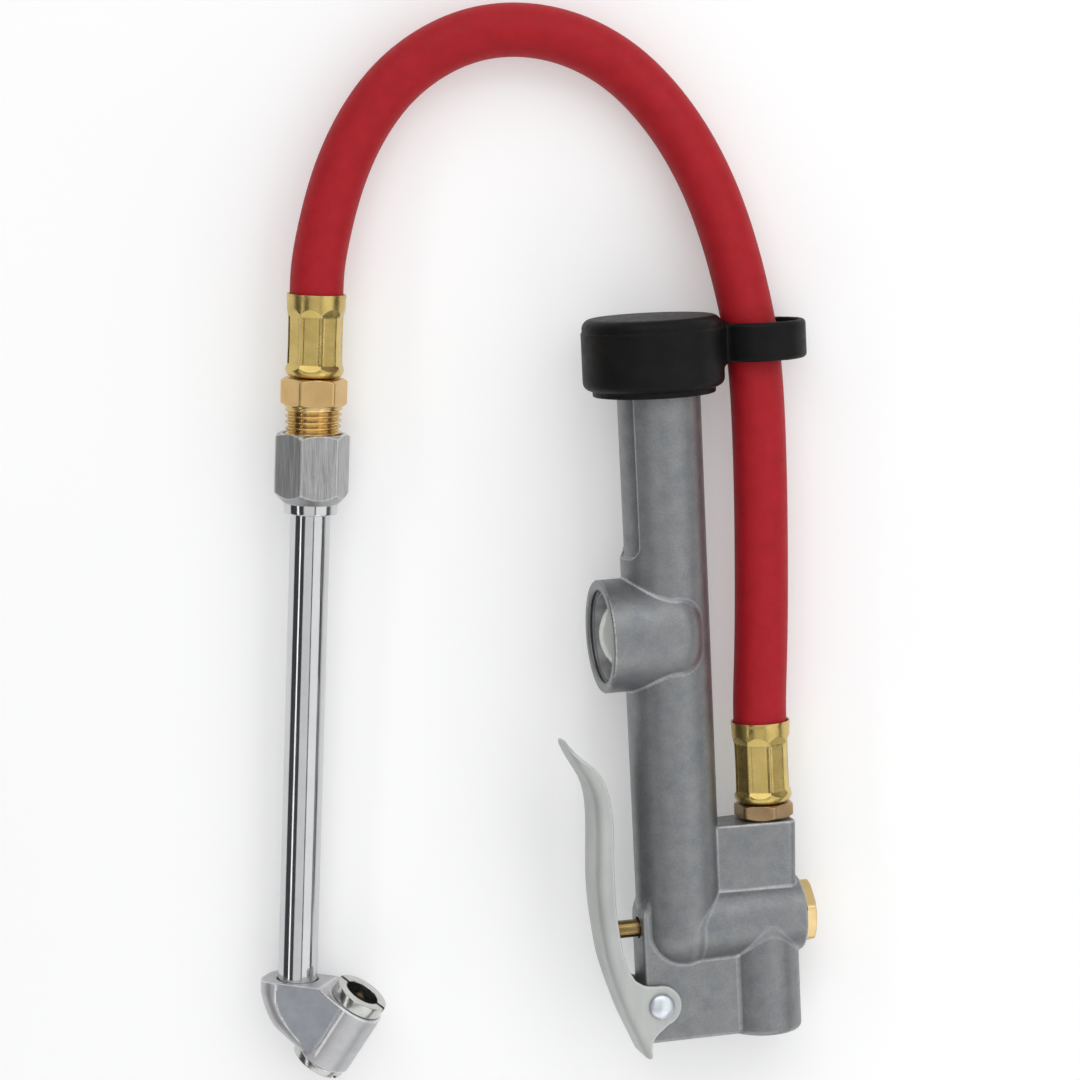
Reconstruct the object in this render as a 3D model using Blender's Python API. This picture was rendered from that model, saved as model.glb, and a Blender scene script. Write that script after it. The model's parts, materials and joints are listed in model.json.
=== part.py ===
"""Portable tire inflator: a die-cast lever valve with a sliding gauge, a short hose and a twin-foot chuck.

Sizes are in metres. The valve body and the chuck are each modelled upright in a frame of their own,
with the long axis up, +X to the right and the viewer at -Y. Their frames then lay them on the floor.
"""

import math

import bmesh
import bpy
from mathutils import Matrix, Vector

# ---------------------------------------------------------------- clearances
FIT_GAP = 0.0003            # between touching pieces
SLIDE_GAP = 0.0005          # round a piece that slides in a bore
THREAD_GAP = 0.0003         # round a screwed shank

# ---------------------------------------------------------------- how the two halves lie
BODY_PLACE = (0.0333, -0.0904)      # valve axis crossing the tube axis
BODY_YAW = math.radians(2.70)
BODY_ROLL = math.radians(14.0)
BODY_PITCH = math.radians(0.40)
CHUCK_PLACE = (-0.0587, -0.1060)    # chuck tube axis crossing the head's top face
CHUCK_YAW = math.radians(-2.1)
CHUCK_ROLL = math.radians(-18.5)
CHUCK_PITCH = math.radians(1.1)

# ---------------------------------------------------------------- casting, heights from the valve axis
TUBE_RADIUS_LOW = 0.01010
TUBE_RADIUS_HIGH = 0.01035
COLLAR_RADIUS = 0.0132
TUBE_TOP = 0.1360
COLLAR_TALL = 0.0058
COLLAR_LOW = TUBE_TOP - COLLAR_TALL
GAUGE_BORE = 0.0066
GAUGE_FLOOR = 0.0120
LABEL_DEPTH = 0.0010
LABEL_HALF_WIDTH = 0.0067
LABEL_CORNER = 0.0035
LABEL_LOW = 0.0892
LABEL_STEPS = 14
VALVE_RADIUS_INNER = 0.0097
VALVE_RADIUS_OUTER = 0.0092
VALVE_END = 0.0296
VALVE_EDGE = 0.0006
TAB_HALF = 0.0052
TAB_LEFT = -0.0103
TAB_BOTTOM = -0.0274
TAB_SHOULDER_LOW = 0.0040
TAB_SHOULDER_HIGH = 0.0076
TAB_CORNER = 0.0016
INLET_X = 0.0202
INLET_RADIUS = 0.0090
INLET_BOTTOM = -0.0278
INLET_EDGE = 0.0010
BLOCK_TOP = 0.02375
BLOCK_END = 0.0283
BLOCK_HALF_TUBE = 0.0054
BLOCK_FLARE_LOW = 0.0078
BLOCK_HALF_END = 0.0071
BLOCK_CORNER = 0.0020
BOSS_HEIGHT = 0.0708
BOSS_RADIUS = 0.0134
BOSS_LEFT = -0.0164
BOSS_RIGHT = 0.0062
BOSS_CROWN = 0.0062
BOSS_EDGE = 0.0004

# ---------------------------------------------------------------- bores of the casting
WINDOW_BORE = 0.01085
WINDOW_FLOOR = -0.0102
WINDOW_OPENING = 0.0070
PIN_GUIDE = 0.00255
OUTLET_BORE = 0.0046
OUTLET_LEFT = -0.0030
CHAMBER_BORE = 0.0064
CHAMBER_LEFT = 0.0070
INLET_BORE_MOUTH = 0.0062
INLET_BORE_END = 0.0057
INLET_MOUTH_CHAMFER = 0.0006
INLET_DEPTH = 0.0150
INLET_PASSAGE = 0.0028
INLET_PASSAGE_X = 0.0180
HOSE_PORT_X = 0.0222
HOSE_PORT_BORE = 0.0050
HOSE_PORT_FLOOR = 0.0105
CROSS_PASSAGE = 0.0016
CROSS_PASSAGE_HEIGHT = 0.0142
RISER_X = 0.0030

# ---------------------------------------------------------------- plug of the gauge bore, rubber boot over it
END_PLUG_HEX = 0.0228
END_PLUG_HEAD = 0.0058
END_PLUG_SHANK = 0.0080
END_PLUG_TOP = TUBE_TOP + FIT_GAP + END_PLUG_HEAD
BOOT_RADIUS = 0.0167
BOOT_SKIRT = 0.0030
BOOT_LOW = COLLAR_LOW - BOOT_SKIRT
BOOT_LIP_RADIUS = 0.0145
BOOT_LIP_TALL = 0.0014
BOOT_ROOF = 0.0030
BOOT_TOP = END_PLUG_TOP + FIT_GAP + BOOT_ROOF
BOOT_TOP_EDGE = 0.0025
BOOT_LOW_EDGE = 0.0021
BOOT_DOME = 0.0004
LOOP_X = 0.0261
LOOP_RADIUS = 0.0107
LOOP_WALL = 0.0015
LOOP_DROP = 0.0024
LOOP_TALL = 0.0092
LOOP_HIGH = BOOT_TOP - LOOP_DROP
LOOP_LOW = LOOP_HIGH - LOOP_TALL
LOOP_EDGE = 0.0008
LOOP_NECK_HALF = 0.0058

# ---------------------------------------------------------------- gauge works
DRUM_LOW = 0.0155
DRUM_HIGH = 0.0860
DRUM_WALL = 0.0013
DRUM_FLOOR = 0.0030
CUP_TALL = 0.0024
CUP_WALL = 0.0011
LENS_CURVE = 0.0100
LENS_FLANGE = 0.0012
RING_WALL = 0.0017
RING_TALL = 0.0030
GAUGE_WIRE = 0.00045
GAUGE_COIL = 0.0036
GAUGE_CURLS = 9

# ---------------------------------------------------------------- lever valve
PIVOT_X = -0.0070
PIVOT_Z = -0.0181
LEVER_HALF = 0.0067
LEVER_SHEET = 0.0012
LEVER_BEND = 0.0022
LEVER_EAR = 0.00495
LEVER_WEB_LINE = (                  # (x, z) of the web's outside, from the thumb tip to the tail
    (-0.0272, 0.0471), (-0.0256, 0.0434), (-0.0238, 0.0400), (-0.0220, 0.0366), (-0.0210, 0.0325),
    (-0.0208, 0.0271), (-0.0211, 0.0201), (-0.0214, 0.0130), (-0.0212, 0.0065), (-0.0206, 0.0004),
    (-0.0198, -0.0055), (-0.0187, -0.0100), (-0.0172, -0.0150), (-0.0153, -0.0206), (-0.0126, -0.0269),
    (-0.0110, -0.0306),
)
LEVER_EDGE_LINE = (                 # (x, z) of the flanges' free edge, from the thumb tip to the throat
    (-0.0262, 0.0463), (-0.0243, 0.0438), (-0.0220, 0.0418), (-0.0199, 0.0396), (-0.0184, 0.0370),
    (-0.0174, 0.0331), (-0.0169, 0.0290), (-0.0168, 0.0244), (-0.0170, 0.0191), (-0.0171, 0.0115),
    (-0.0170, 0.0062), (-0.0165, 0.0009), (-0.0158, -0.0045), (-0.0148, -0.0083),
)
LEVER_THROAT = ((-0.0131, -0.0112), (-0.0108, -0.01275))
LEVER_TAIL = ((-0.0079, -0.0247), (-0.0091, -0.0260), (-0.0096, -0.0274), (-0.0097, -0.0290), (-0.0096, -0.0306))
LEVER_TAIL_END = (-0.0101, -0.0310)
RIVET_SHANK = 0.00145
RIVET_HEAD = 0.0031
RIVET_DOME = 0.0013
PIN_RADIUS = 0.00213
PIN_GROOVE_X = -0.0062
PIN_GROOVE_WIDE = 0.0013
ORING_WIRE = 0.00030
SEAT_THICK = 0.0025
SEAT_HOLE = 0.0029
SEAT_LIP = 0.0006
POPPET_RADIUS = 0.0046
POPPET_THICK = 0.0026
POPPET_NOSE = 0.0022
VALVE_WIRE = 0.00040
VALVE_COIL = 0.0032
VALVE_CURLS = 5
PLUG_HEX = 0.0143
PLUG_HEAD = 0.0024
PLUG_SHANK_LEFT = 0.0215
PLUG_CUP = 0.0042
PLUG_CUP_FLOOR = 0.0248
PLUG_TURN = math.radians(17.0)
PLUG_GROOVE_X = 0.0273
PLUG_GROOVE_WIDE = 0.0018
PLUG_RING_WIRE = 0.00050

# ---------------------------------------------------------------- hose and its fittings
HOSE_RADIUS = 0.00635
HOSE_POINTS = 36
HOSE_MOUTH = 0.0022                 # how far the hose's full width goes into a ferrule
BODY_HEX = 0.0126
BODY_HEX_TALL = 0.0034
BODY_HEX_TURN = math.radians(34.0)
BODY_SHANK = 0.0100
STEM_BORE = 0.0019
STEM_RADIUS = 0.0032
STEM_BARB = 0.0038
STEM_BARBS = 2
SLEEVE_INNER = 0.0041
FERRULE_LONG = 0.0196
FERRULE_BAND = 0.0071
FERRULE_WAIST = 0.00642
FERRULE_FLAT = 0.00598
FERRULE_BEAD = 0.0069
FERRULE_WALL = 0.00045
FERRULE_FLOOR = 0.0009
FERRULE_FLATS = 8
LOWER_FERRULE_TURN = math.radians(-1.0)
UPPER_FERRULE_TURN = math.radians(-11.0)

# ---------------------------------------------------------------- chuck, heights from the head's top face
CHUCK_TUBE_RADIUS = 0.0047625
CHUCK_TUBE_BORE = 0.0034
CHUCK_TUBE_LOW = -0.0066
CHUCK_TUBE_HIGH = 0.1216
THREAD_RADIUS = 0.0068
THREAD_TAPER = 0.00025
THREAD_STOP = 0.0024                # from the pipe's end to the thread
THREAD_ENGAGED = 0.0089
THREAD_SHOWN = 0.0066
THREAD_LOW = CHUCK_TUBE_HIGH + THREAD_STOP
COUPLING_HEX = 0.0159
COUPLING_TALL = 0.0168
COUPLING_HIGH = THREAD_LOW + THREAD_ENGAGED
COUPLING_LOW = COUPLING_HIGH - COUPLING_TALL
COUPLING_CHAMFER = 0.0008
COUPLING_CONE = 0.0028
COUPLING_TURN = math.radians(4.5)
COLLAR_WIDE = 0.0064
COLLAR_RING = 0.0024
COLLAR_BOTTOM = COUPLING_LOW - COLLAR_RING
ADAPTER_HEX = 0.0143
ADAPTER_HEX_TALL = 0.0065
ADAPTER_HEX_LOW = COUPLING_HIGH + THREAD_SHOWN
ADAPTER_HEX_HIGH = ADAPTER_HEX_LOW + ADAPTER_HEX_TALL
ADAPTER_TURN = math.radians(22.0)

HEAD_HALF = 0.0065
HEAD_LEFT = -0.0088
HEAD_ROUND = 0.0062
HEAD_BEND = 0.0082
HEAD_PANEL = 0.0004
FOOT_ANGLE = math.radians(30.9)
FOOT_X = 0.01105
FOOT_Z = -0.01120
FOOT_RADIUS = 0.0072
FOOT_HALF = 0.00815
FOOT_BORE = 0.0052
FOOT_INNER_BORE = 0.0042
FOOT_SHOULDER = 0.0047
CAP_RADIUS = 0.00665
CAP_BORE = 0.00425
CAP_FRONT_TALL = 0.0029
CAP_REAR_TALL = 0.0018
CAP_SHANK = 0.0012
CAP_SLOT = 0.0012
CAP_SLOT_DEPTH = 0.0010
CAP_EDGE = 0.0004
WASHER_HOLE = 0.0019
PLUNGER_RADIUS = 0.0034
PLUNGER_THICK = 0.0012
PLUNGER_STEM = 0.0011
PLUNGER_REACH = 0.0066
FOOT_WIRE = 0.00025
FOOT_COIL = 0.0026
FOOT_CURLS = 4

FINE_SIDES = 32
ROUND_SIDES = 28
INNER_SIDES = 16
SMALL_SIDES = 12
SLIVER = 0.00002
SMOOTH_ANGLE = math.radians(32.0)

ALONG_X = Matrix.Rotation(math.radians(90.0), 4, "Y")       # turned shapes: their z runs to +X


# ================================================================ helpers
def clear_scene():
    """Removes whatever the file holds."""
    for item in list(bpy.data.objects):
        bpy.data.objects.remove(item, do_unlink=True)


def finish_of(name, colour, roughness, metallic, transmission=0.0):
    """A plain Principled material."""
    material = bpy.data.materials.new(name)
    material.use_nodes = True
    shader = material.node_tree.nodes["Principled BSDF"]
    shader.inputs["Base Color"].default_value = (*colour, 1.0)
    shader.inputs["Roughness"].default_value = roughness
    shader.inputs["Metallic"].default_value = metallic
    shader.inputs["Transmission Weight"].default_value = transmission
    return material


def add_frame(name, parent=None, matrix=None):
    """An empty that places what hangs under it."""
    frame = bpy.data.objects.new(name, None)
    bpy.context.scene.collection.objects.link(frame)
    frame.parent = parent
    frame.matrix_basis = matrix or Matrix.Identity(4)
    return frame


def add_object(name, mesh, material, parent, matrix=None):
    """Links one mesh as a named, smooth-shaded object under its frame."""
    item = bpy.data.objects.new(name, mesh)
    bpy.context.scene.collection.objects.link(item)
    item.parent = parent
    item.matrix_basis = matrix or Matrix.Identity(4)
    mesh.materials.clear()
    mesh.materials.append(material)
    mesh.shade_smooth()
    mesh.set_sharp_from_angle(angle=SMOOTH_ANGLE)
    return item


def to_mesh(form, name):
    """Turns a bmesh into a mesh whose faces point out."""
    bmesh.ops.recalc_face_normals(form, faces=form.faces)
    mesh = bpy.data.meshes.new(name)
    form.to_mesh(mesh)
    form.free()
    return mesh


def loft(name, rings, closed=False):
    """Skins rings of equal point count; the ends get a face each unless the loft closes on itself."""
    form = bmesh.new()
    rows = [[form.verts.new(point) for point in ring] for ring in rings]
    count = len(rows[0])
    pairs = list(zip(rows, rows[1:]))
    if closed:
        pairs.append((rows[-1], rows[0]))
    for low, high in pairs:
        for i in range(count):
            j = (i + 1) % count
            form.faces.new((low[i], low[j], high[j], high[i]))
    if not closed:
        form.faces.new(rows[0][::-1])
        form.faces.new(rows[-1])
    return to_mesh(form, name)


def circle(radius, height, sides, phase=0.0):
    """One ring of points about Z; phase is the share of a side by which it is turned."""
    step = 2 * math.pi / sides
    return [
        (radius * math.cos(step * (i + phase)), radius * math.sin(step * (i + phase)), height)
        for i in range(sides)
    ]


def turned(name, profile, sides=ROUND_SIDES, closed=False, phase=0.31):
    """Turns (radius, height) points about Z; closed=True makes a ring with a bore."""
    return loft(name, [circle(radius, height, sides, phase) for radius, height in profile], closed)


def sleeve(name, outer, inner, low, high, sides=ROUND_SIDES, edge=0.0):
    """A plain ring or tube with its outer edges broken by edge."""
    profile = [(inner, low), (outer - edge, low)]
    if edge > 0.0:
        profile.append((outer, low + edge))
        profile.append((outer, high - edge))
    profile.append((outer - edge, high))
    profile.append((inner, high))
    return turned(name, profile, sides, closed=True)


def arc(centre_x, centre_y, radius, start, end, steps):
    """Points on an arc, angles in degrees."""
    points = []
    for i in range(steps + 1):
        angle = math.radians(start + (end - start) * i / steps)
        points.append((centre_x + radius * math.cos(angle), centre_y + radius * math.sin(angle)))
    return points


def prism(name, outline, half, axis="Y"):
    """Extrudes an (x, z) outline across Y, or an (x, y) outline along Z between half[0] and half[1]."""
    low, high = half if isinstance(half, tuple) else (-half, half)
    if axis == "Y":
        rings = [[(x, level, z) for x, z in outline] for level in (low, high)]
    else:
        rings = [[(x, y, level) for x, y in outline] for level in (low, high)]
    return loft(name, rings)


def hexagon(across, turn=0.0):
    """Six corners of a hexagon by its width across flats."""
    corner = across / math.sqrt(3.0)
    return [
        (corner * math.cos(turn + math.radians(60 * i)), corner * math.sin(turn + math.radians(60 * i)))
        for i in range(6)
    ]


def hex_ring_point(across, limit, angle, turn):
    """Radius of a hexagon in a direction, cut back to a round limit: a chamfered nut's outline."""
    step = math.radians(60)
    local = (angle - turn) % step - step / 2
    return min(across / 2 / math.cos(local), limit)


def hex_bar(name, across, levels, turn, sides=24):
    """A hexagonal stretch whose corners are cut back. Each level is (height, round limit)."""
    rings = []
    for height, limit in levels:
        ring = []
        for i in range(sides):
            angle = 2 * math.pi * i / sides + turn
            radius = hex_ring_point(across, limit, angle, turn)
            ring.append((radius * math.cos(angle), radius * math.sin(angle), height))
        rings.append(ring)
    return loft(name, rings)


def spline_points(route, count, closed=False):
    """Reads count points from a smooth Catmull-Rom curve through the route's own points."""
    points = [Vector(point) for point in route]
    first = points[0] * 2 - points[1]
    last = points[-1] * 2 - points[-2]
    padded = [first] + points + [last]
    dense = []
    steps = 40
    for i in range(1, len(padded) - 2):
        before, start, end, after = padded[i - 1:i + 3]
        for k in range(steps):
            t = k / steps
            dense.append(0.5 * (
                2 * start + (end - before) * t
                + (2 * before - 5 * start + 4 * end - after) * t * t
                + (3 * start - before - 3 * end + after) * t ** 3
            ))
    dense.append(points[-1])
    lengths = [0.0]
    for a, b in zip(dense, dense[1:]):
        lengths.append(lengths[-1] + (b - a).length)
    total = lengths[-1]
    result = []
    k = 0
    for i in range(count):
        want = total * i / (count - 1)
        while k < len(lengths) - 2 and lengths[k + 1] < want:
            k += 1
        span = lengths[k + 1] - lengths[k]
        share = 0.0 if span == 0.0 else (want - lengths[k]) / span
        result.append(dense[k].lerp(dense[k + 1], min(max(share, 0.0), 1.0)))
    return result, total


def wire(name, points, radius, material, parent, resolution, matrix=None):
    """A round tube along points, with filled ends."""
    curve = bpy.data.curves.new(name, "CURVE")
    curve.dimensions = "3D"
    curve.bevel_depth = radius
    curve.bevel_resolution = resolution
    curve.use_fill_caps = True
    curve.resolution_u = 1
    curve.render_resolution_u = 0
    spline = curve.splines.new("POLY")
    spline.points.add(len(points) - 1)
    for slot, point in zip(spline.points, points):
        slot.co = (*point, 1.0)
    spline.use_smooth = True
    curve.materials.append(material)
    item = bpy.data.objects.new(name, curve)
    bpy.context.scene.collection.objects.link(item)
    item.parent = parent
    item.matrix_basis = matrix or Matrix.Identity(4)
    return item


def coil_points(radius, low, high, curls, per_curl=8):
    """A compression spring about Z, its end curls lying flatter than the rest."""
    points = []
    total = int(curls * per_curl)
    for i in range(total + 1):
        share = i / total
        eased = share - 0.55 / (2 * math.pi) * math.sin(2 * math.pi * share) / curls * 2
        angle = 2 * math.pi * curls * share
        points.append((radius * math.cos(angle), radius * math.sin(angle), low + (high - low) * eased))
    return points


def report_coil_gap(name, low, high, curls, wire_radius):
    """Prints the least gap between neighbouring curls."""
    slack = 1.0 - 0.55 * 2 / curls
    gap = (high - low) / curls * slack - 2 * wire_radius
    print(f"{name}: least gap to itself {gap * 1000:.2f} mm")


def cut_with(item, cutter_mesh, matrix=None, operation="DIFFERENCE"):
    """Adds a Boolean whose other shape is hidden from the build."""
    label = f"{item.name}_{len(item.modifiers) + 1}"
    cutter = bpy.data.objects.new(f"{label}_form", cutter_mesh)
    bpy.context.scene.collection.objects.link(cutter)
    cutter.parent = item.parent
    cutter.matrix_basis = item.matrix_basis @ (matrix or Matrix.Identity(4))
    cutter.hide_render = True
    cutter.display_type = "WIRE"
    change = item.modifiers.new(label, "BOOLEAN")
    change.object = cutter
    change.operation = operation
    change.solver = "EXACT"
    return change


def join_with(item, other_mesh, matrix=None):
    """Fuses another closed shape into the object."""
    return cut_with(item, other_mesh, matrix, "UNION")


def tidy_slivers(item):
    """Joins points that a Boolean left almost on top of each other."""
    change = item.modifiers.new(f"{item.name}_weld", "WELD")
    change.merge_threshold = SLIVER


def at(x=0.0, y=0.0, z=0.0):
    """A plain shift."""
    return Matrix.Translation((x, y, z))


# ================================================================ casting
def casting_outline_shapes():
    """Closed shapes that are fused into the casting: (mesh, matrix)."""
    tab = [(0.0, TAB_SHOULDER_HIGH), (0.0, 0.0), (INLET_X, 0.0), (INLET_X, TAB_BOTTOM)]
    tab += arc(TAB_LEFT + TAB_CORNER, TAB_BOTTOM + TAB_CORNER, TAB_CORNER, 270, 180, 5)
    tab += [(TAB_LEFT, TAB_SHOULDER_LOW), (-math.sqrt(TUBE_RADIUS_LOW ** 2 - TAB_HALF ** 2), TAB_SHOULDER_HIGH)]

    block = []
    for height, half_end in ((0.0, BLOCK_HALF_TUBE), (BLOCK_FLARE_LOW, BLOCK_HALF_TUBE), (BLOCK_TOP, BLOCK_HALF_END)):
        corner_x = BLOCK_END - BLOCK_CORNER
        corner_y = half_end - BLOCK_CORNER
        ring = [(0.0, -BLOCK_HALF_TUBE), (TUBE_RADIUS_LOW * 0.7, -BLOCK_HALF_TUBE)]
        ring += arc(corner_x, -corner_y, BLOCK_CORNER, 270, 360, 6)
        ring += arc(corner_x, corner_y, BLOCK_CORNER, 0, 90, 6)
        ring += [(TUBE_RADIUS_LOW * 0.7, BLOCK_HALF_TUBE), (0.0, BLOCK_HALF_TUBE)]
        block.append([(x, y, height) for x, y in ring])

    valve = [
        (VALVE_RADIUS_INNER, 0.0), (VALVE_RADIUS_OUTER, VALVE_END - VALVE_EDGE),
        (VALVE_RADIUS_OUTER - VALVE_EDGE, VALVE_END),
    ]
    inlet = [(INLET_RADIUS, 0.0)]
    inlet += arc(INLET_RADIUS - INLET_EDGE, INLET_BOTTOM + INLET_EDGE, INLET_EDGE, 0, -90, 4)

    boss = [(BOSS_RADIUS - BOSS_EDGE, BOSS_LEFT), (BOSS_RADIUS, BOSS_LEFT + BOSS_EDGE)]
    boss += arc(BOSS_RADIUS - BOSS_CROWN, BOSS_RIGHT - BOSS_CROWN, BOSS_CROWN, 0, 86, 9)

    return [
        (prism("tab", tab, TAB_HALF), None),
        (loft("block", block), None),
        (turned("valve_barrel", valve, phase=0.17), ALONG_X),
        (turned("inlet_barrel", inlet), at(x=INLET_X)),
        (turned("window_boss", boss, FINE_SIDES, phase=0.12), at(z=BOSS_HEIGHT) @ ALONG_X),
    ]


def casting_bores():
    """Closed shapes that are cut out of the casting: (mesh, matrix)."""
    reach = 0.004
    window = [
        (WINDOW_BORE, BOSS_LEFT - reach), (WINDOW_BORE, WINDOW_FLOOR),
        (WINDOW_OPENING, WINDOW_FLOOR), (WINDOW_OPENING, 0.0),
    ]
    works = [
        (PIN_GUIDE, TAB_LEFT - reach), (PIN_GUIDE, OUTLET_LEFT),
        (OUTLET_BORE, OUTLET_LEFT), (OUTLET_BORE, CHAMBER_LEFT), (CHAMBER_BORE, CHAMBER_LEFT),
        (CHAMBER_BORE, VALVE_END + reach),
    ]
    inlet_end = INLET_BOTTOM + INLET_DEPTH
    inlet = [
        (INLET_BORE_END, inlet_end),
        (INLET_BORE_MOUTH, INLET_BOTTOM + INLET_MOUTH_CHAMFER),
        (INLET_BORE_MOUTH + INLET_MOUTH_CHAMFER, INLET_BOTTOM),
        (INLET_BORE_MOUTH + INLET_MOUTH_CHAMFER, INLET_BOTTOM - reach),
    ]
    passage = [(INLET_PASSAGE, 0.0), (INLET_PASSAGE, inlet_end - 0.001)]
    riser = [(CROSS_PASSAGE, 0.0), (CROSS_PASSAGE, GAUGE_FLOOR + 0.001)]
    port = [
        (HOSE_PORT_BORE, HOSE_PORT_FLOOR),
        (HOSE_PORT_BORE, BLOCK_TOP + reach),
    ]
    cross = [
        (CROSS_PASSAGE, GAUGE_BORE - 0.002),
        (CROSS_PASSAGE, HOSE_PORT_X),
    ]
    gauge = [
        (GAUGE_BORE, GAUGE_FLOOR), (GAUGE_BORE, TUBE_TOP + reach),
    ]
    rivet = [(RIVET_SHANK + FIT_GAP, -0.02), (RIVET_SHANK + FIT_GAP, 0.02)]
    across = Matrix.Rotation(math.radians(90.0), 4, "X")
    return [
        (turned("gauge_cut", gauge, INNER_SIDES), None),
        (turned("window_cut", window, FINE_SIDES), at(z=BOSS_HEIGHT) @ ALONG_X),
        (turned("works_cut", works, INNER_SIDES), ALONG_X),
        (turned("inlet_cut", inlet, INNER_SIDES), at(x=INLET_X)),
        (turned("passage_cut", passage, SMALL_SIDES), at(x=INLET_PASSAGE_X)),
        (turned("riser_cut", riser, SMALL_SIDES), at(x=RISER_X)),
        (turned("port_cut", port, INNER_SIDES), at(x=HOSE_PORT_X)),
        (turned("cross_cut", cross, SMALL_SIDES), at(z=CROSS_PASSAGE_HEIGHT) @ ALONG_X),
        (turned("rivet_cut", rivet, SMALL_SIDES), at(x=PIVOT_X, z=PIVOT_Z) @ across),
    ]


def tube_radius(height):
    """The tube's outer radius at a height; the casting has a slight draft."""
    return TUBE_RADIUS_LOW + (TUBE_RADIUS_HIGH - TUBE_RADIUS_LOW) * height / COLLAR_LOW


def label_recess():
    """The shallow recess down the left of the tube: a concentric floor and round lower corners."""
    low_floor = tube_radius(LABEL_LOW) - LABEL_DEPTH
    high_floor = tube_radius(COLLAR_LOW) - LABEL_DEPTH
    outside = TUBE_RADIUS_HIGH + 0.002
    high = COLLAR_LOW - FIT_GAP
    reach = math.asin(LABEL_HALF_WIDTH / low_floor)
    rings = []
    for i in range(LABEL_STEPS + 1):
        share = -math.cos(math.pi * i / LABEL_STEPS)
        angle = reach * share
        past = max(abs(low_floor * angle) - (low_floor * reach - LABEL_CORNER), 0.0)
        low = LABEL_LOW + LABEL_CORNER - math.sqrt(max(LABEL_CORNER ** 2 - past ** 2, 0.0))
        ring = [(low_floor, low), (outside, low), (outside, high), (high_floor, high)]
        rings.append([(-radius * math.cos(angle), radius * math.sin(angle), height) for radius, height in ring])
    return loft("label_cut", rings)


def body_casting(parent, material):
    """The die-cast body: tube, elbow, valve barrel, tab, inlet, hose block and window boss."""
    shell = arc(0.0, 0.0, TUBE_RADIUS_LOW, -84, 0, 7)
    shell += [
        (TUBE_RADIUS_HIGH, COLLAR_LOW), (COLLAR_RADIUS, COLLAR_LOW), (COLLAR_RADIUS, TUBE_TOP),
    ]
    item = add_object("body_casting", turned("body_casting", shell, FINE_SIDES), material, parent)
    cut_with(item, label_recess())
    for mesh, matrix in casting_outline_shapes():
        join_with(item, mesh, matrix)
    tidy_slivers(item)
    for mesh, matrix in casting_bores():
        cut_with(item, mesh, matrix)
    return item


# ================================================================ rubber boot
def rubber_boot(parent, material):
    """The black boot over the gauge end, with the ring that holds the hose."""
    hole = TUBE_RADIUS_HIGH + FIT_GAP
    cavity = COLLAR_RADIUS + SLIDE_GAP
    cavity_low = COLLAR_LOW - FIT_GAP
    cavity_high = END_PLUG_TOP + FIT_GAP
    lip_high = BOOT_LOW + BOOT_LIP_TALL
    outer = [(cavity, cavity_high), (cavity, cavity_low), (hole, cavity_low), (hole, BOOT_LOW)]
    outer += [(BOOT_LIP_RADIUS, BOOT_LOW), (BOOT_LIP_RADIUS, lip_high)]
    outer += arc(BOOT_RADIUS - BOOT_LOW_EDGE, lip_high + BOOT_LOW_EDGE, BOOT_LOW_EDGE, -88, 0, 3)
    outer += arc(BOOT_RADIUS - BOOT_TOP_EDGE, BOOT_TOP - BOOT_TOP_EDGE, BOOT_TOP_EDGE, 0, 82, 4)
    outer.append((BOOT_RADIUS * 0.4, BOOT_TOP + BOOT_DOME))
    item = add_object("rubber_boot", turned("rubber_boot", outer, FINE_SIDES), material, parent)

    inner_radius = LOOP_RADIUS - LOOP_WALL
    edge = LOOP_EDGE
    ring = [(inner_radius, LOOP_LOW)]
    ring += [(LOOP_RADIUS - edge, LOOP_LOW), (LOOP_RADIUS, LOOP_LOW + edge)]
    ring += [(LOOP_RADIUS, LOOP_HIGH - edge), (LOOP_RADIUS - edge, LOOP_HIGH), (inner_radius, LOOP_HIGH)]
    join_with(item, turned("loop", ring, FINE_SIDES, closed=True), at(x=LOOP_X))

    neck_left = BOOT_RADIUS - 0.0015
    neck_right = LOOP_X - inner_radius - 0.0002
    neck = [
        (neck_left, -LOOP_NECK_HALF), (neck_right, -LOOP_NECK_HALF * 0.35),
        (neck_right, LOOP_NECK_HALF * 0.35), (neck_left, LOOP_NECK_HALF),
    ]
    join_with(item, prism("neck", neck, (LOOP_LOW + edge, LOOP_HIGH - edge), axis="Z"))
    return item


# ================================================================ gauge works
def gauge_end_plug(parent, material):
    """The hexagon plug that closes the gauge bore under the boot."""
    low = TUBE_TOP + FIT_GAP
    limit = COLLAR_RADIUS
    head = hex_bar("gauge_end_plug", END_PLUG_HEX, [
        (low, limit), (END_PLUG_TOP - 0.0008, limit), (END_PLUG_TOP, limit - 0.0010),
    ], 0.0)
    item = add_object("gauge_end_plug", head, material, parent)
    shank = [
        (GAUGE_BORE - THREAD_GAP - 0.0004, TUBE_TOP - END_PLUG_SHANK),
        (GAUGE_BORE - THREAD_GAP, TUBE_TOP - END_PLUG_SHANK + 0.0004), (GAUGE_BORE - THREAD_GAP, low + 0.001),
    ]
    join_with(item, turned("plug_shank", shank, INNER_SIDES))
    return item


def gauge_drum(parent, material):
    """The white indicator drum: a tube with a floor, which the spring stands on."""
    outer = GAUGE_BORE - SLIDE_GAP
    inner = outer - DRUM_WALL
    floor = DRUM_LOW + DRUM_FLOOR
    profile = [
        (outer, DRUM_LOW), (outer, DRUM_HIGH), (inner, DRUM_HIGH), (inner, floor),
    ]
    return add_object("gauge_drum", turned("gauge_drum", profile, INNER_SIDES), material, parent)


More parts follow.
